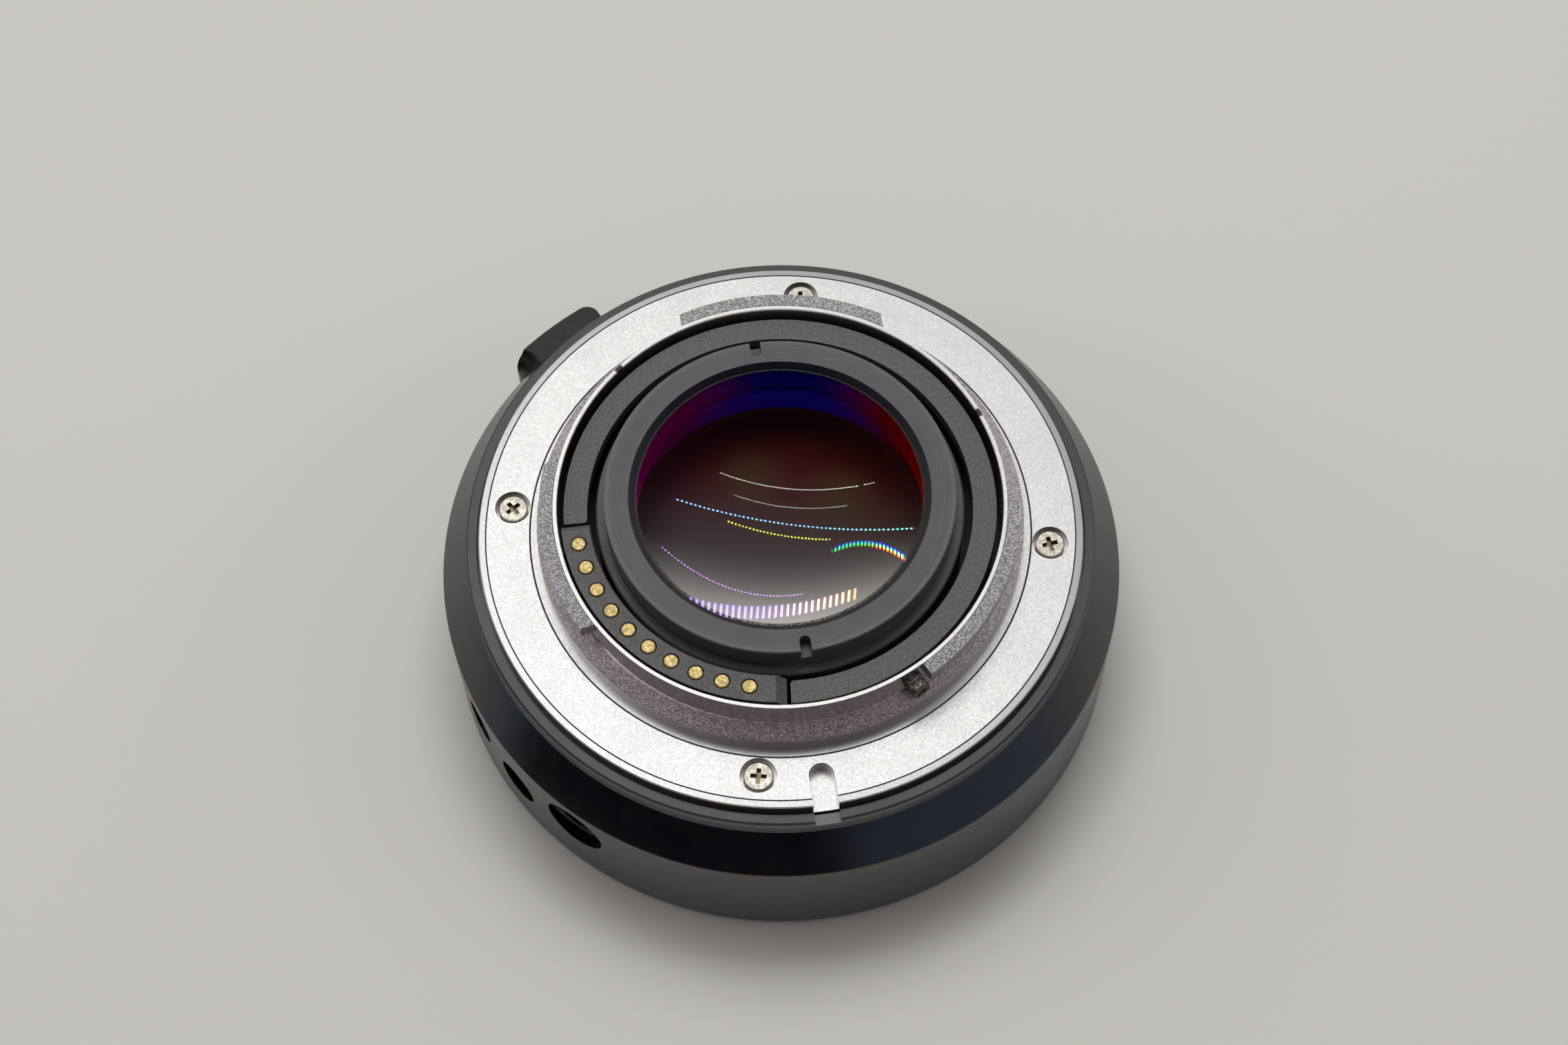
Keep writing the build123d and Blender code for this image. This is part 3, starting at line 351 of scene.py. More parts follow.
def satin_plated_brass():
    """Camera mount: bead blasted face, turned tube, rough blasted lugs."""
    f = Finish("satin_plated_brass")
    face = f.zone(f.height, FLANGE_Z - 0.12, FLANGE_Z + 0.12)
    speckle = f.spread(f.noise(6.5, 2.0, 0.7), 0.30, 0.75)
    cloud = f.spread(f.noise(0.22, 2.0), 0.35, 0.70)
    base = f.mix(speckle, grey(0.66, 0.006), grey(0.84, 0.006))
    base = f.mix(f.maths("MULTIPLY", cloud, 0.3), base, grey(0.62))
    # Painted shade: a ring of the face at the foot of the boss is darkened.
    painted_shade_ring_at_boss = f.both(face, f.zone(f.radius, 22.9, 23.75, 0.05))
    base = f.mix(f.maths("MULTIPLY", painted_shade_ring_at_boss, 0.15), base, grey(0.36))
    lines = f.maths("MAXIMUM", f.zone(f.radius, 23.73, 23.87), f.zone(f.radius, 27.94, 28.06))
    base = f.mix(f.maths("MULTIPLY", f.both(face, lines), 0.85), base, grey(0.06))
    # Painted shade and reflection: the upright wall of the boss is painted a darker, pinkish grey.
    boss = f.both(f.zone(f.radius, 22.93, 23.07, 0.03), f.zone(f.height, FLANGE_Z + 0.1, BOSS_TOP - 0.1))
    base = f.mix(f.maths("MULTIPLY", boss, 0.4), base, (0.42, 0.36, 0.36, 1))
    lugs = f.both(f.spread(f.radius, 21.2, 21.3), f.spread(f.height, TUBE_TOP - 1.5, TUBE_TOP - 1.35))
    ledge = f.both(f.spread(f.radius, 21.2, 21.3), f.zone(f.height, BOSS_TOP - 0.1, BOSS_TOP + 0.1))
    coarse = f.noise(7.0, 2.0, 0.6)
    pits = f.spread(coarse, 0.42, 0.60)
    base = f.mix(lugs, base, f.mix(pits, grey(0.30), (0.84, 0.80, 0.86, 1)))
    base = f.mix(ledge, base, f.mix(pits, (0.40, 0.36, 0.37, 1), (0.74, 0.69, 0.70, 1)))
    blasted = f.maths("MAXIMUM", lugs, ledge)
    nicks = f.maths("MAXIMUM", f.spot(21.0, 30.6, TUBE_TOP, 0.45), f.spot(21.0, 141.8, TUBE_TOP, 0.45))
    base = f.mix(nicks, base, grey(0.05))
    rough = f.blend(speckle, 0.36, 0.26)
    rough = f.blend(blasted, rough, 0.24)
    tube = f.both(f.zone(f.height, BOSS_TOP, TUBE_TOP - 0.05), f.spread(f.radius, 21.25, 21.3, 1.0, 0.0))
    rough = f.blend(tube, rough, 0.16)
    outward = f.vector("NORMALIZE", f.vector("MULTIPLY_ADD", f.around, (0.5, 0.5, 0), (0, 0, 1)))
    face_normal = f.add("NewGeometry").outputs["Normal"]
    rounded = f.add("Mix", {0: ledge, 4: face_normal, 5: outward}, data_type="VECTOR").outputs[1]
    fine = f.bump(f.noise(7.5, 2.0, 0.6), 0.005, 0.7, rounded)
    rings = f.bump(f.both(tube, f.turned(9.0)), 0.008, 0.8, fine)
    relief = f.blend(ledge, f.both(lugs, coarse), f.maths("MULTIPLY", coarse, 0.35))
    normal = f.bump(relief, 0.16, 0.9, rings)
    return f.surface(Base_Color=base, Metallic=1.0, Roughness=rough, Normal=normal)


def satin_chrome():
    """Lens mount ring: fine turned face with light rubbing marks."""
    f = Finish("satin_chrome")
    rubbed = f.spread(f.turned(7.0, 2.5), 0.35, 0.7)
    base = f.mix(rubbed, grey(0.60, 0.012), grey(0.76, 0.012))
    base = f.mix(f.maths("MULTIPLY", f.scratches(70, 0.8, seed=9.0), 0.4), base, grey(0.45))
    rough = f.blend(rubbed, 0.30, 0.22)
    return f.surface(Base_Color=base, Metallic=1.0, Roughness=rough,
                     Normal=f.bump(f.turned(10.0), 0.004, 0.7))


def plated_screw(name, recess_below=None, recess_above=None):
    """Nickel plated screw, darkened with painted shade in its cross recess."""
    f = Finish(name)
    worn = f.spread(f.noise(2.2, 3.0, 0.7), 0.35, 0.70)
    base = f.mix(worn, (0.56, 0.52, 0.44, 1), (0.76, 0.73, 0.66, 1))
    if recess_below is not None:
        hollow = f.spread(f.height, recess_below - 0.08, recess_below, 1.0, 0.0)
    else:
        hollow = f.spread(f.height, recess_above, recess_above + 0.08)
    # Painted shade: the cross recess is darkened towards a dark brown.
    base = f.mix(f.maths("MULTIPLY", hollow, 0.9), base, (0.20, 0.16, 0.10, 1))
    base = f.mix(f.maths("MULTIPLY", f.scratches(15, 0.9, 0.4, 22.0), 0.5), base, grey(0.25))
    rough = f.blend(worn, 0.40, 0.24)
    return f.surface(Base_Color=base, Metallic=1.0, Roughness=rough,
                     Normal=f.bump(f.noise(11.0), 0.006, 0.7))


def blackened_pin():
    """Stop pin: dull, mottled, with metal showing through."""
    f = Finish("blackened_pin")
    flecks = f.spread(f.noise(3.5, 4.0, 0.7), 0.50, 0.62)
    base = f.mix(flecks, (0.075, 0.066, 0.058, 1), (0.46, 0.42, 0.38, 1))
    return f.surface(Base_Color=base, Metallic=0.6, Roughness=f.blend(flecks, 0.55, 0.38),
                     Normal=f.bump(f.noise(6.0, 3.0), 0.03, 0.8))


def sand_textured_black():
    """Light baffle: matt, with a sandy grain."""
    f = Finish("sand_textured_black")
    sand = f.noise(4.5, 3.0, 0.65)
    base = f.mix(f.spread(sand, 0.35, 0.75), grey(0.075, -0.03), grey(0.150, -0.04))
    base = f.mix(f.spread(f.grains(2.4), 0.03, 0.12, 0.5, 0.0), base, grey(0.20))
    return f.surface(Base_Color=base, Roughness=0.50, Normal=f.bump(sand, 0.04, 0.9), IOR=1.5)


def moulded_black(name, base_value, rough, scratch_angle=60):
    """Moulded black plastic: fine grain, a few scratches."""
    f = Finish(name)
    grain = f.noise(5.5, 3.0, 0.6)
    base = f.mix(f.spread(grain, 0.4, 0.75), grey(base_value * 0.75), grey(base_value * 1.5))
    base = f.mix(f.maths("MULTIPLY", f.scratches(scratch_angle, 1.2, 0.5, 14.0), 0.5), base, grey(0.12))
    uneven = f.spread(f.noise(1.1), 0.3, 0.7, rough - 0.05, rough + 0.07)
    return f.surface(Base_Color=base, Roughness=uneven, Normal=f.bump(grain, 0.02, 0.8))


def turned_black():
    """Lens cell and its rings: black anodised, with lathe lines, a lighter outer edge on top and painted
    shade on the inner lip.
    """
    f = Finish("turned_black")
    lines = f.turned(6.0, 2.0)
    base = f.mix(f.spread(lines, 0.3, 0.75), grey(0.066, -0.03), grey(0.082, -0.03))
    on_ring = f.spread(f.height, RING_TOP - 0.1, RING_TOP - 0.03)
    rim = f.both(on_ring, f.zone(f.radius, 16.0, 16.5, 0.2))
    base = f.mix(f.maths("MULTIPLY", rim, 0.4), base, grey(0.13, 0.01))
    base = f.mix(f.maths("MULTIPLY", f.scratches(120, 0.9, 0.3, 12.0, 3.0), 0.5), base, grey(0.20))
    # Painted shade: the inner lip of the ring is painted almost black with a blue cast, like the shaded
    # bore beyond it.
    lip = f.both(f.zone(f.radius, 13.5, 14.1, 0.05), f.spread(f.height, FLANGE_Z + 5.5, FLANGE_Z + 5.6))
    base = f.mix(lip, base, (0.0012, 0.0006, 0.0060, 1))
    rough = f.spread(f.noise(0.6, 2.0), 0.3, 0.7, 0.36, 0.42)
    fine = f.bump(f.noise(7.0, 2.0), 0.006, 0.7)
    return f.surface(Base_Color=base, Roughness=rough, Normal=f.bump(lines, 0.004, 0.8, fine), IOR=1.45)


def edge_blackened():
    """Bore round the glasses: blackened, with painted reflections of the coatings: blue behind, red right,
    purple left.
    """
    f = Finish("edge_blackened")
    east = f.vector("DOT_PRODUCT", f.around, (1, 0, 0))
    north = f.vector("DOT_PRODUCT", f.around, (0, 1, 0))
    # Painted reflections round the bore; the blue is painted brighter lower down, where less light reaches,
    # and the near side dark grey.
    blue = f.mix(f.spread(f.height, 18.5, 22.0), (0.030, 0.008, 0.900, 1), (0.006, 0.002, 0.300, 1))
    base = f.mix(f.spread(east, -0.8, -0.15), (0.220, 0.001, 0.110, 1), blue)
    base = f.mix(f.spread(east, 0.15, 0.70), base, (0.220, 0.001, 0.001, 1))
    base = f.mix(f.spread(north, -0.2, -0.7), base, grey(0.010))
    rough = f.spread(f.turned(5.0), 0.3, 0.7, 0.45, 0.60)
    return f.surface(Base_Color=base, Roughness=rough, Specular_IOR_Level=0.05)


def gilded():
    """Contact studs and pins: gold plate with rubbed tops."""
    f = Finish("gilded")
    rubbed = f.spread(f.noise(3.2, 3.0, 0.65), 0.35, 0.7)
    base = f.mix(rubbed, (0.42, 0.31, 0.12, 1), (0.72, 0.58, 0.30, 1))
    base = f.mix(f.maths("MULTIPLY", f.scratches(-40, 1.2, 0.6, 20.0), 0.6), base, (0.85, 0.76, 0.50, 1))
    return f.surface(Base_Color=base, Metallic=1.0, Roughness=f.blend(rubbed, 0.38, 0.26),
                     Normal=f.bump(f.noise(8.0), 0.008, 0.7))


def satin_black_lever():
    """Finger tab: smooth satin black."""
    f = Finish("satin_black_lever")
    grain = f.noise(7.0, 2.0)
    base = f.mix(f.spread(grain, 0.4, 0.7), grey(0.004), grey(0.008))
    return f.surface(Base_Color=base, Roughness=f.spread(f.noise(0.8), 0.3, 0.7, 0.24, 0.32),
                     Normal=f.bump(grain, 0.004, 0.7), IOR=1.42)


def steel(name, low, high, rough, metallic=1.0):
    """Plain steel of small fasteners and springs."""
    f = Finish(name)
    streaks = f.spread(f.noise(4.0, 3.0, 0.6), 0.35, 0.7)
    return f.surface(Base_Color=f.mix(streaks, grey(low), grey(high, 0.01)), Metallic=metallic,
                     Roughness=f.blend(streaks, rough + 0.08, rough),
                     Normal=f.bump(f.noise(10.0), 0.004, 0.6))


def printed_board():
    """Board: green mask over traces that run round the ring."""
    f = Finish("printed_board")
    traces = f.spread(f.turned(2.2, 9.0), 0.50, 0.54)
    base = f.mix(traces, (0.008, 0.060, 0.026, 1), (0.020, 0.115, 0.050, 1))
    return f.surface(Base_Color=base, Roughness=0.32, Normal=f.bump(traces, 0.03, 0.7), Coat_Weight=0.3)


def mottled(name, low, high, rough, scale=3.0):
    """Simple two-tone finish."""
    f = Finish(name)
    share = f.spread(f.noise(scale, 3.0), 0.35, 0.7)
    return f.surface(Base_Color=f.mix(share, low, high), Roughness=rough, Normal=f.bump(share, 0.006, 0.6))


def rear_glass():
    """Coated rear glass: clear, weakly blue, and mirroring the table along its near edge."""
    f = Finish("coated_rear_glass")
    clear = f.add("BsdfTransparent", {"Color": (0.97, 0.96, 0.97, 1)}).outputs[0]
    coating = f.glossy((0.20, 0.16, 0.75, 1), 0.06)
    hollow = f.sloped(f.maths("MULTIPLY", f.x, -0.028), f.maths("MULTIPLY", f.y, -0.028))
    inside = f.add("LayerWeight", {"Blend": 0.5, "Normal": hollow}).outputs["Facing"]
    inside = f.both(f.spread(inside, 0.185, 0.345), f.spread(f.radius, 3.0, 13.0, 0.2, 0.9))
    table = f.glossy((0.84, 0.80, 0.77, 1), 0.12, hollow)
    front = f.layered(inside, f.layered(0.004, clear, coating), table)
    specks = f.both(f.spread(f.grains(1.1), 0.02, 0.05, 0.25, 0.0), f.spread(f.noise(0.2), 0.45, 0.6))
    seat = f.both(f.spread(f.radius, 13.25, 13.38), f.spread(f.noise(6.0, 3.0, 0.7), 0.50, 0.56, 0.98, 0.5))
    dark = f.principled(Base_Color=grey(0.02), Roughness=0.5)
    front = f.layered(f.maths("MAXIMUM", specks, seat), front, dark)
    front = f.with_added(front, *[f.lamp_arc(arc) for arc in LAMP_ARCS])
    turned_away = f.add("NewGeometry").outputs["Backfacing"]
    top = f.spread(f.height, RING_TOP - 0.7, RING_TOP - 0.6)
    outside = f.maths("MULTIPLY", top, f.maths("SUBTRACT", 1.0, turned_away))
    return f.show(f.layered(outside, clear, front))


def clear_glass(name):
    """Coated glass that lets the view through."""
    f = Finish(name)
    return f.show(f.add("BsdfTransparent", {"Color": (0.96, 0.96, 0.97, 1)}).outputs[0])


def deep_glass():
    """Bottom of the cemented pair: an opaque disc painted as a dark brown depth, with painted reflections
    paler and greener towards the near side.
    """
    f = Finish("coated_deep_glass")
    # Painted shade and reflection: dark brown behind, paler and greener towards the near side.
    base = f.mix(f.spread(f.y, -6.0, 9.0), (0.070, 0.070, 0.062, 1), (0.055, 0.007, 0.004, 1))
    # Two painted reflections: olive patches on the far side.
    for x, y in ((-3.5, 6.5), (5.5, 5.0)):
        away = f.vector("DISTANCE", f.point, (x, y, PAIR_LOW))
        base = f.mix(f.spread(away, 0.5, 4.5, 0.5, 0.0), base, (0.060, 0.048, 0.010, 1))
    return f.surface(Base_Color=base, Roughness=0.5, Specular_IOR_Level=0.05)


def coated_glass(name, tint):
    """Multi-coated optical glass of the lens side."""
    f = Finish(name)
    dust = f.spread(f.grains(0.9), 0.01, 0.03, 1.0, 0.0)
    return f.surface(Base_Color=tint, Transmission_Weight=1.0, IOR=1.35,
                     Roughness=f.maths("MULTIPLY", dust, 0.3))


def plain_stage(name, value):
    """Floor: plain pale stone grey."""
    material = bpy.data.materials.new(name)
    material.use_nodes = True
    shader = material.node_tree.nodes["Principled BSDF"]
    shader.inputs["Base Color"].default_value = value
    shader.inputs["Roughness"].default_value = 0.55
    return material


finishes = {
    "main_barrel": black_anodised(),
    "camera_mount": satin_plated_brass(),
    "lens_mount": satin_chrome(),
    "camera_mount_screws": plated_screw("plated_screw_camera_side", recess_below=FLANGE_Z - 0.3),
    "lens_mount_screws": plated_screw("plated_screw_lens_side", recess_above=0.14),
    "lug_stop_pin": blackened_pin(),
    "light_baffle": sand_textured_black(),
    "camera_contact_block": moulded_black("moulded_block", 0.078, 0.42),
    "camera_contact_pads": gilded(),
    "lens_cell": turned_black(),
    "rear_spacer": edge_blackened(),
    "release_lever": satin_black_lever(),
    "side_screws": steel("dark_screw_steel", 0.05, 0.16, 0.40),
    "circuit_board": printed_board(),
    "camera_flex": mottled("polyimide_ribbon", (0.30, 0.13, 0.02, 1), (0.42, 0.20, 0.04, 1), 0.35),
    "lens_index_dot": mottled("white_enamel", grey(0.74), grey(0.80), 0.35),
    "chip_capacitors": mottled("fired_ceramic", (0.34, 0.24, 0.15, 1), (0.46, 0.34, 0.22, 1), 0.5),
    "inner_frame": mottled("blackened_frame", grey(0.012), grey(0.024), 0.50, 1.5),
    "lock_pin": steel("bright_steel", 0.45, 0.62, 0.22),
    "mount_leaf_spring": steel("spring_steel", 0.34, 0.48, 0.30),
    "rear_lens": rear_glass(),
    "middle_lens": clear_glass("coated_middle_glass"),
    "front_lens": coated_glass("coated_front_glass", (0.80, 0.85, 0.80, 1)),
}
same_finish = {
    "lens_cell": ["rear_retaining_ring", "front_retaining_ring", "middle_spacer"],
    "camera_contact_block": ["lens_contact_block", "controller_chip", "regulator_chip", "flex_connector"],
    "inner_frame": ["front_baffle"],
    "lock_pin": ["inner_frame_screws", "board_screws", "foot_screws", "lens_contact_block_screws"],
    "mount_leaf_spring": ["lock_pin_spring"] + [f"contact_spring_{i}" for i in range(1, 9)],
    "camera_contact_pads": [f"contact_pin_{i}" for i in range(1, 9)],
    "middle_lens": ["field_lens"],
}
for first, others in same_finish.items():
    for name in others:
        finishes[name] = finishes[first]
for name, piece in nodes.items():
    piece.data.materials.clear()
    piece.data.materials.append(finishes[name])


def add_piece(name, mesh, replaced=(), fixed=True):
    """Object of a finished mesh in the place of the nodes it replaces, on the adapter's body or loose."""
    piece = bpy.data.objects.new(name, mesh)
    bpy.context.scene.collection.objects.link(piece)
    if fixed:
        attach(piece, "adapter")
    if replaced:
        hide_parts(*replaced)
    return piece


def make_glass_pair():
    """Cemented pair as one turned solid: clear top, edge with painted reflections, opaque bottom with
    painted shade and reflections.
    """
    steps = 24
    profile = []
    for i in range(steps + 1):
        radius = CAP_R * i / steps
        profile.append((radius, PAIR_TOP + PAIR_TOP_BULGE * (1 - (radius / CAP_R) ** 2), 0))
    profile += [(PAIR_R, PAIR_TOP, 1), (PAIR_R, PAIR_LOW, 1)]
    for i in range(steps, -1, -1):
        radius = CAP_R * i / steps
        profile.append((radius, PAIR_LOW + PAIR_LOW_BULGE * (1 - (radius / CAP_R) ** 2), 2))
    mesh = bpy.data.meshes.new("cemented_glass_pair")
    work = bmesh.new()
    sides = 128
    rings = []
    for radius, height, _ in profile:
        count = 1 if radius == 0 else sides
        rings.append([work.verts.new(ring_point(radius, 360 * i / sides, height) * MM)
                      for i in range(count)])
    for (upper, lower), (_, _, finish) in zip(zip(rings, rings[1:]), profile[1:]):
        for i in range(sides):
            corners = [upper[i % len(upper)], lower[i % len(lower)],
                       lower[(i + 1) % len(lower)], upper[(i + 1) % len(upper)]]
            face = work.faces.new(list(dict.fromkeys(corners)))
            face.material_index = finish
            face.smooth = finish != 1
    bmesh.ops.recalc_face_normals(work, faces=work.faces)
    work.to_mesh(mesh)
    work.free()
    for material in (finishes["middle_lens"], finishes["rear_spacer"], deep_glass()):
        mesh.materials.append(material)
    add_piece("cemented_glass_pair", mesh, ("middle_lens", "field_lens"))


make_glass_pair()


class Recipe(Shading):
    """A Geometry Nodes tree with named inputs, built with the same short calls."""

    def __init__(self, name, **inputs):
        super().__init__(bpy.data.node_groups.new(name, "GeometryNodeTree"))
        face = self.tree.interface
        face.new_socket("Geometry", in_out="OUTPUT", socket_type="NodeSocketGeometry")
        face.new_socket("Geometry", in_out="INPUT", socket_type="NodeSocketGeometry")
        for key, kind in inputs.items():
            face.new_socket(key.replace("_", " "), in_out="INPUT", socket_type="NodeSocket" + kind)
        self.given = self.tree.nodes.new("NodeGroupInput").outputs

    def step(self, kind, output, **sockets):
        """One geometry node and the output that the next one takes."""
        node = self.tree.nodes.new("GeometryNode" + kind)
        for key, value in sockets.items():
            self.put(node.inputs[key.replace("_", " ")], value)
        return node.outputs[output]

    def finish(self, geometry):
        realized = self.step("RealizeInstances", "Geometry", Geometry=geometry)
        painted = self.step("SetMaterial", "Geometry", Geometry=realized, Material=self.given["Material"])
        self.put(self.tree.nodes.new("NodeGroupOutput").inputs["Geometry"], painted)

    def mesh(self, name, points, **values):
        """Plain mesh that the tree makes on some points, which are in metres."""
        base = bpy.data.meshes.new(name)
        base.from_pydata(points, [], [])
        holder = bpy.data.objects.new(name, base)
        bpy.context.scene.collection.objects.link(holder)
        modifier = holder.modifiers.new("recipe", "NODES")
        modifier.node_group = self.tree
        for socket in self.tree.interface.items_tree:
            if socket.name.replace(" ", "_") in values:
                modifier[socket.identifier] = values[socket.name.replace(" ", "_")]
        made = bpy.data.meshes.new_from_object(holder.evaluated_get(bpy.context.evaluated_depsgraph_get()))
        bpy.data.objects.remove(holder)
        bpy.data.meshes.remove(base)
        made.name = name
        return made


def make_coil_recipe():
    """Helix of a round or three-sided section, once on each point."""
    r = Recipe("coil", Coil_Radius="Float", Height="Float", Turns="Float", Section_Radius="Float",
               Section_Sides="Int", Steps_In_A_Turn="Int", Material="Material")
    given = r.given
    helix = r.step("CurveSpiral", "Curve", Resolution=given["Steps In A Turn"], Rotations=given["Turns"],
                   Start_Radius=given["Coil Radius"], End_Radius=given["Coil Radius"],
                   Height=given["Height"])
    upright = r.step("SetCurveNormal", "Curve", Curve=helix)
    upright.node.mode = "Z_UP"
    section = r.step("CurvePrimitiveCircle", "Curve", Resolution=given["Section Sides"],
                     Radius=given["Section Radius"])
    wire = r.step("CurveToMesh", "Mesh", Curve=upright, Profile_Curve=section, Fill_Caps=True)
    r.finish(r.step("InstanceOnPoints", "Instances", Points=given["Geometry"], Instance=wire))
    return r


coil_recipe = make_coil_recipe()


def make_spring(name, replaced, wire_radius, turns):
    """Wound spring in the room of the solid it replaces. It is left loose, on no body."""
    low, high = [Vector(corner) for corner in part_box(replaced)]
    outer, wire = (high.x - low.x) / 2, wire_radius * MM
    x, y = (low.x + high.x) / 2, (low.y + high.y) / 2
    mesh = coil_recipe.mesh(name, [(x, y, low.z + wire)], Coil_Radius=outer - wire,
                            Height=high.z - low.z - 2 * wire, Turns=turns, Section_Radius=wire,
                            Section_Sides=6, Steps_In_A_Turn=16, Material=finishes["mount_leaf_spring"])
    mesh.shade_smooth()
    spring = add_piece(name, mesh, (replaced,), fixed=False)
    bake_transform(spring)


def make_socket_thread():
    """Ridge of the tripod socket's thread, along the bore from just inside its mouth."""
    length = SOCKET_DEPTH - 1.0
    mesh = coil_recipe.mesh("tripod_socket_thread", [(0, 0, 0)], Coil_Radius=(SOCKET_R - 0.1) * MM,
                            Height=length * MM, Turns=length / THREAD_PITCH,
                            Section_Radius=(SOCKET_R - THREAD_MINOR_R) * MM, Section_Sides=3,
                            Steps_In_A_Turn=32, Material=finishes["main_barrel"])
    outward = ring_point(1, SOCKET_ANGLE, 0)
    place = Matrix.Translation(ring_point(BARREL_R - SOCKET_DEPTH + 0.3, SOCKET_ANGLE, SOCKET_Z) * MM)
    mesh.transform(place @ outward.to_track_quat("Z", "Y").to_matrix().to_4x4())
    add_piece("tripod_socket_thread", mesh)


for number in range(1, 9):
    make_spring(f"contact_coil_{number}", f"contact_spring_{number}", 0.12, 5)
make_spring("lock_pin_coil", "lock_pin_spring", 0.15, 5)
make_socket_thread()


def make_floor():
    """Wide plain floor under the part. Only the middle of it is mirrored by the part."""
    stone = plain_stage("pale_floor", PALE)
    reach = {"floor_middle": (0.0, 0.08), "floor_around": (0.08, 4.0)}
    steps = 64
    for name, (inner, outer) in reach.items():
        mesh = bpy.data.meshes.new(name)
        work = bmesh.new()
        corners = [[work.verts.new(ring_point(radius, 360 * i / steps, 0)) for i in range(steps)]
                   for radius in (inner, outer) if radius]
        if inner:
            for i in range(steps):
                work.faces.new((corners[0][i], corners[1][i], corners[1][(i + 1) % steps],
                                corners[0][(i + 1) % steps]))
        else:
            work.faces.new(corners[0])
        work.to_mesh(mesh)
        work.free()
        mesh.materials.append(stone)
        floor = bpy.data.objects.new(name, mesh)
        bpy.context.scene.collection.objects.link(floor)
        floor.visible_glossy = name == "floor_middle"


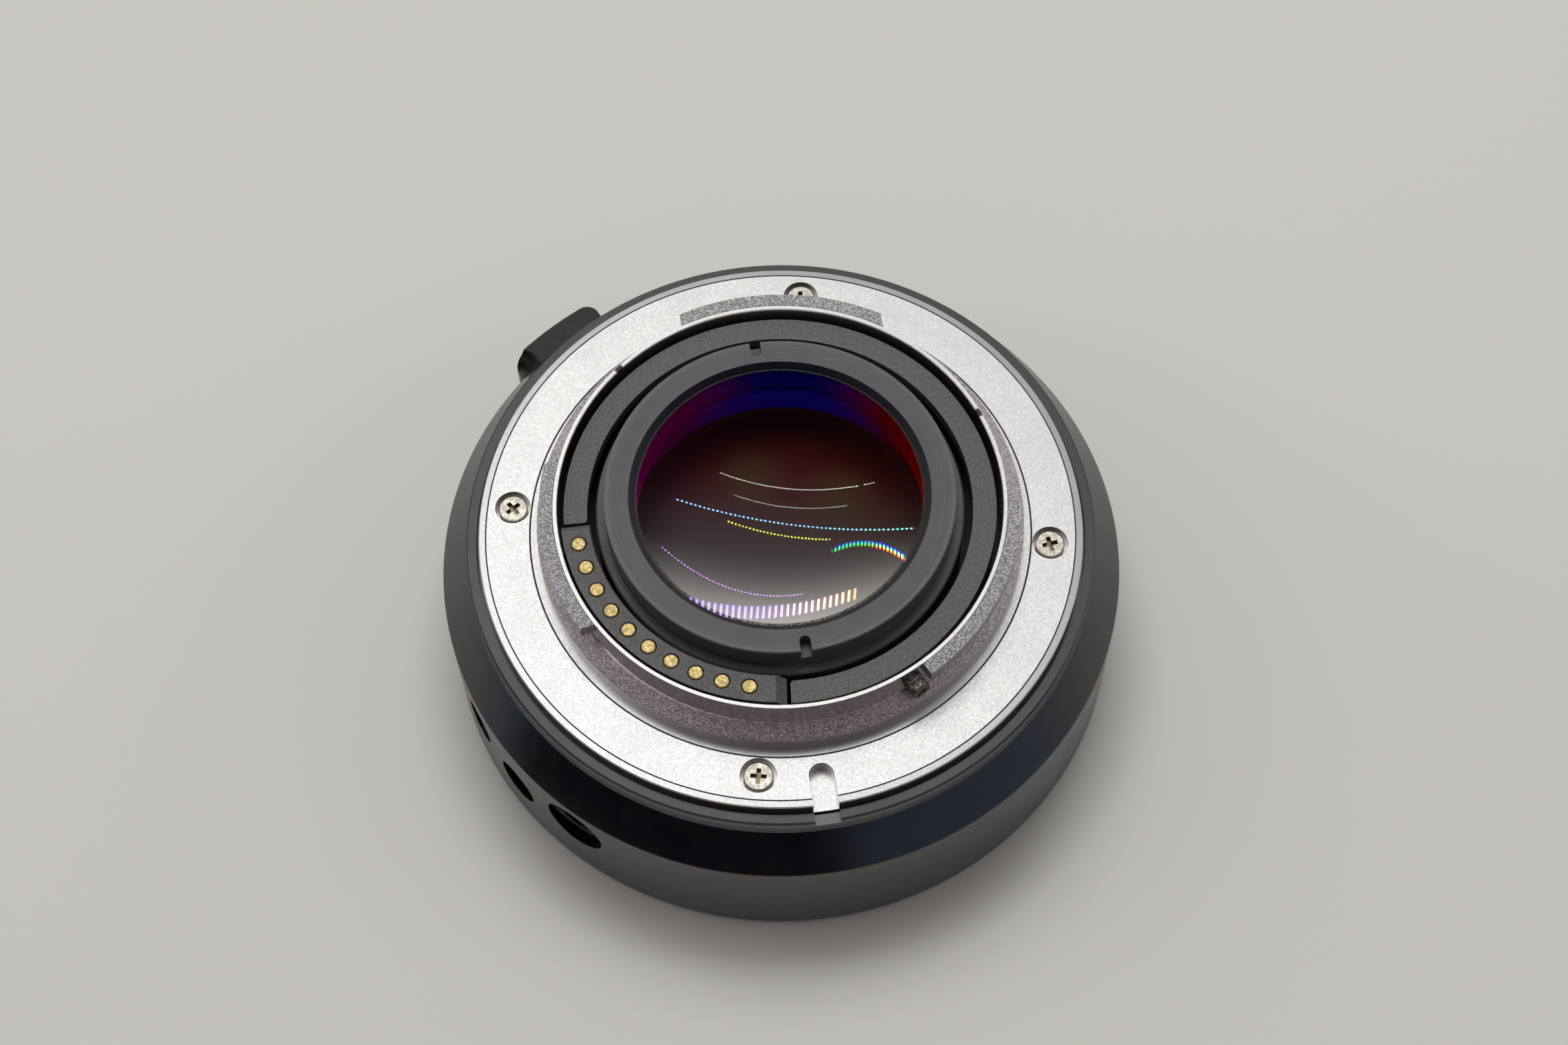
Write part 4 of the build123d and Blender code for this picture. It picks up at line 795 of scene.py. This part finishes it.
def make_world():
    """Soft room: a glow high behind the part, pale walls, a dim front, and a row of lamps for the glass."""
    world = bpy.data.worlds.new("soft_room")
    bpy.context.scene.world = world
    world.use_nodes = True
    w = Shading(world.node_tree)
    toward = w.add("TexCoord").outputs["Generated"]
    parts = w.add("SeparateXYZ", {0: toward}).outputs
    behind = w.spread(parts["Y"], -0.45, 0.30, 0.09, 1.0)
    walls = w.both(behind, w.spread(parts["Z"], 0.32, 0.62, 0.80, 0.36))
    sides = w.spread(w.maths("ABSOLUTE", parts["X"]), 0.4, 1.0, 0.0, 0.20)
    facing_wall = w.both(w.spread(parts["Y"], -0.30, 0.10, 0.45, 0.0), w.zone(parts["Z"], 0.27, 0.66, 0.10))
    walls = w.maths("MAXIMUM", walls, w.maths("MAXIMUM", sides, facing_wall))
    glow = w.vector("DOT_PRODUCT", toward, Vector((-0.17, 0.27, 0.95)).normalized())
    glow = w.spread(glow, 0.88, 0.995, 0.0, 1.42)
    level = w.maths("ADD", walls, glow)
    darkest = w.vector("DOT_PRODUCT", toward, Vector((-0.42, -0.91, 0.0)))
    table = w.spread(darkest, 0.62, 0.78, 0.36, 0.015)
    level = w.blend(w.spread(parts["Z"], -0.02, 0.0), table, level)
    front = w.mix(w.spread(parts["Z"], 0.0, 0.3), (0.60, 0.75, 1.0, 1), (1.0, 0.88, 0.88, 1))
    tint = w.mix(w.spread(parts["Y"], -0.4, 0.2), front, (1.0, 0.985, 0.965, 1))
    room = w.add("Background", {"Color": tint, "Strength": level}).outputs[0]

    elevation = math.radians(LAMP_ROW_ELEVATION)
    across_row = w.vector("DOT_PRODUCT", toward, (0, -math.sin(elevation), math.cos(elevation)))
    along_row = w.vector("DOT_PRODUCT", toward, (0, math.cos(elevation), math.sin(elevation)))
    turn = w.maths("DEGREES", w.maths("ARCTAN2", parts["X"], along_row))
    half_width = math.sin(math.radians(LAMP_ROW_HALF_WIDTH))
    row = w.spread(w.maths("ABSOLUTE", across_row), 0.8 * half_width, 1.2 * half_width, 1.0, 0.0)
    reach = w.zone(turn, -LAMP_ROW_REACH, LAMP_ROW_REACH, 0.5)
    gap = w.zone(turn, *LAMP_ROW_GAP, 0.2)
    wave = w.maths("PINGPONG", w.maths("ADD", turn, 90.0), LAMP_SPACING / 2)
    dots = w.spread(wave, 0.26 * LAMP_SPACING, 0.34 * LAMP_SPACING, 0.03, 1.0)
    lamps = w.both(row, reach, w.maths("SUBTRACT", 1.0, gap), dots, LAMP_GLOW)
    lamps = w.maths("ADD", lamps, w.maths("MULTIPLY", level, 0.003))
    lamp_row = w.add("Background", {"Color": (1, 1, 1, 1), "Strength": lamps}).outputs[0]

    path = w.add("LightPath").outputs
    backdrop = w.add("Background", {"Color": (0.335, 0.33, 0.315, 1)}).outputs[0]
    direct = w.maths("MAXIMUM", path["Is Camera Ray"], path["Is Transmission Ray"])
    mirrored = w.maths("MULTIPLY", path["Is Glossy Ray"], path["Is Singular Ray"])
    seen = w.add("MixShader", {0: mirrored, 1: room, 2: lamp_row}).outputs[0]
    seen = w.add("MixShader", {0: direct, 1: seen, 2: backdrop}).outputs[0]
    w.add("OutputWorld", {"Surface": seen})


def make_lamp(name, place, size, power):
    """Soft lamp, not mirrored by the part. Its place and its two sizes are in metres."""
    data = bpy.data.lights.new(name, "AREA")
    data.shape = "RECTANGLE"
    data.size, data.size_y = size
    data.energy = power
    data.color = (1.0, 0.985, 0.955)
    lamp = bpy.data.objects.new(name, data)
    bpy.context.scene.collection.objects.link(lamp)
    lamp.location = place
    lamp.rotation_mode = "QUATERNION"
    lamp.rotation_quaternion = (-Vector(place)).to_track_quat("-Z", "Y")
    lamp.visible_glossy = False


def make_camera():
    """Camera of the photograph's angle. The picture is taken to be 2353 by 1568."""
    tilt, roll, azimuth = math.radians(62.5932), math.radians(-0.9642), math.radians(5.3)
    forward = Vector((0, math.cos(tilt), -math.sin(tilt)))
    right = Vector((1, 0, 0))
    down = Vector((0, -math.sin(tilt), -math.cos(tilt)))
    right, down = (math.cos(roll) * right - math.sin(roll) * down,
                   math.sin(roll) * right + math.cos(roll) * down)
    turn = Matrix.Rotation(azimuth, 3, "Z")
    axes = Matrix((turn @ right, turn @ -down, turn @ -forward)).transposed()
    data = bpy.data.cameras.new("camera")
    data.lens, data.sensor_width = 61.86, 36
    data.clip_start, data.clip_end = 0.01, 20
    camera = bpy.data.objects.new("camera", data)
    bpy.context.scene.collection.objects.link(camera)
    camera.matrix_world = Matrix.Translation(VIEWER * MM) @ axes.to_4x4()
    bpy.context.scene.camera = camera


make_floor()
make_world()
make_lamp("softbox_back", (-0.03, 0.25, 0.62), (0.42, 0.25), 2.1)
make_lamp("softbox_left", (-0.48, 0.0, 0.32), (0.30, 0.30), 0.35)
make_lamp("softbox_right", (0.48, 0.0, 0.32), (0.30, 0.30), 0.25)
make_camera()
bpy.context.scene.view_settings.view_transform = "Standard"
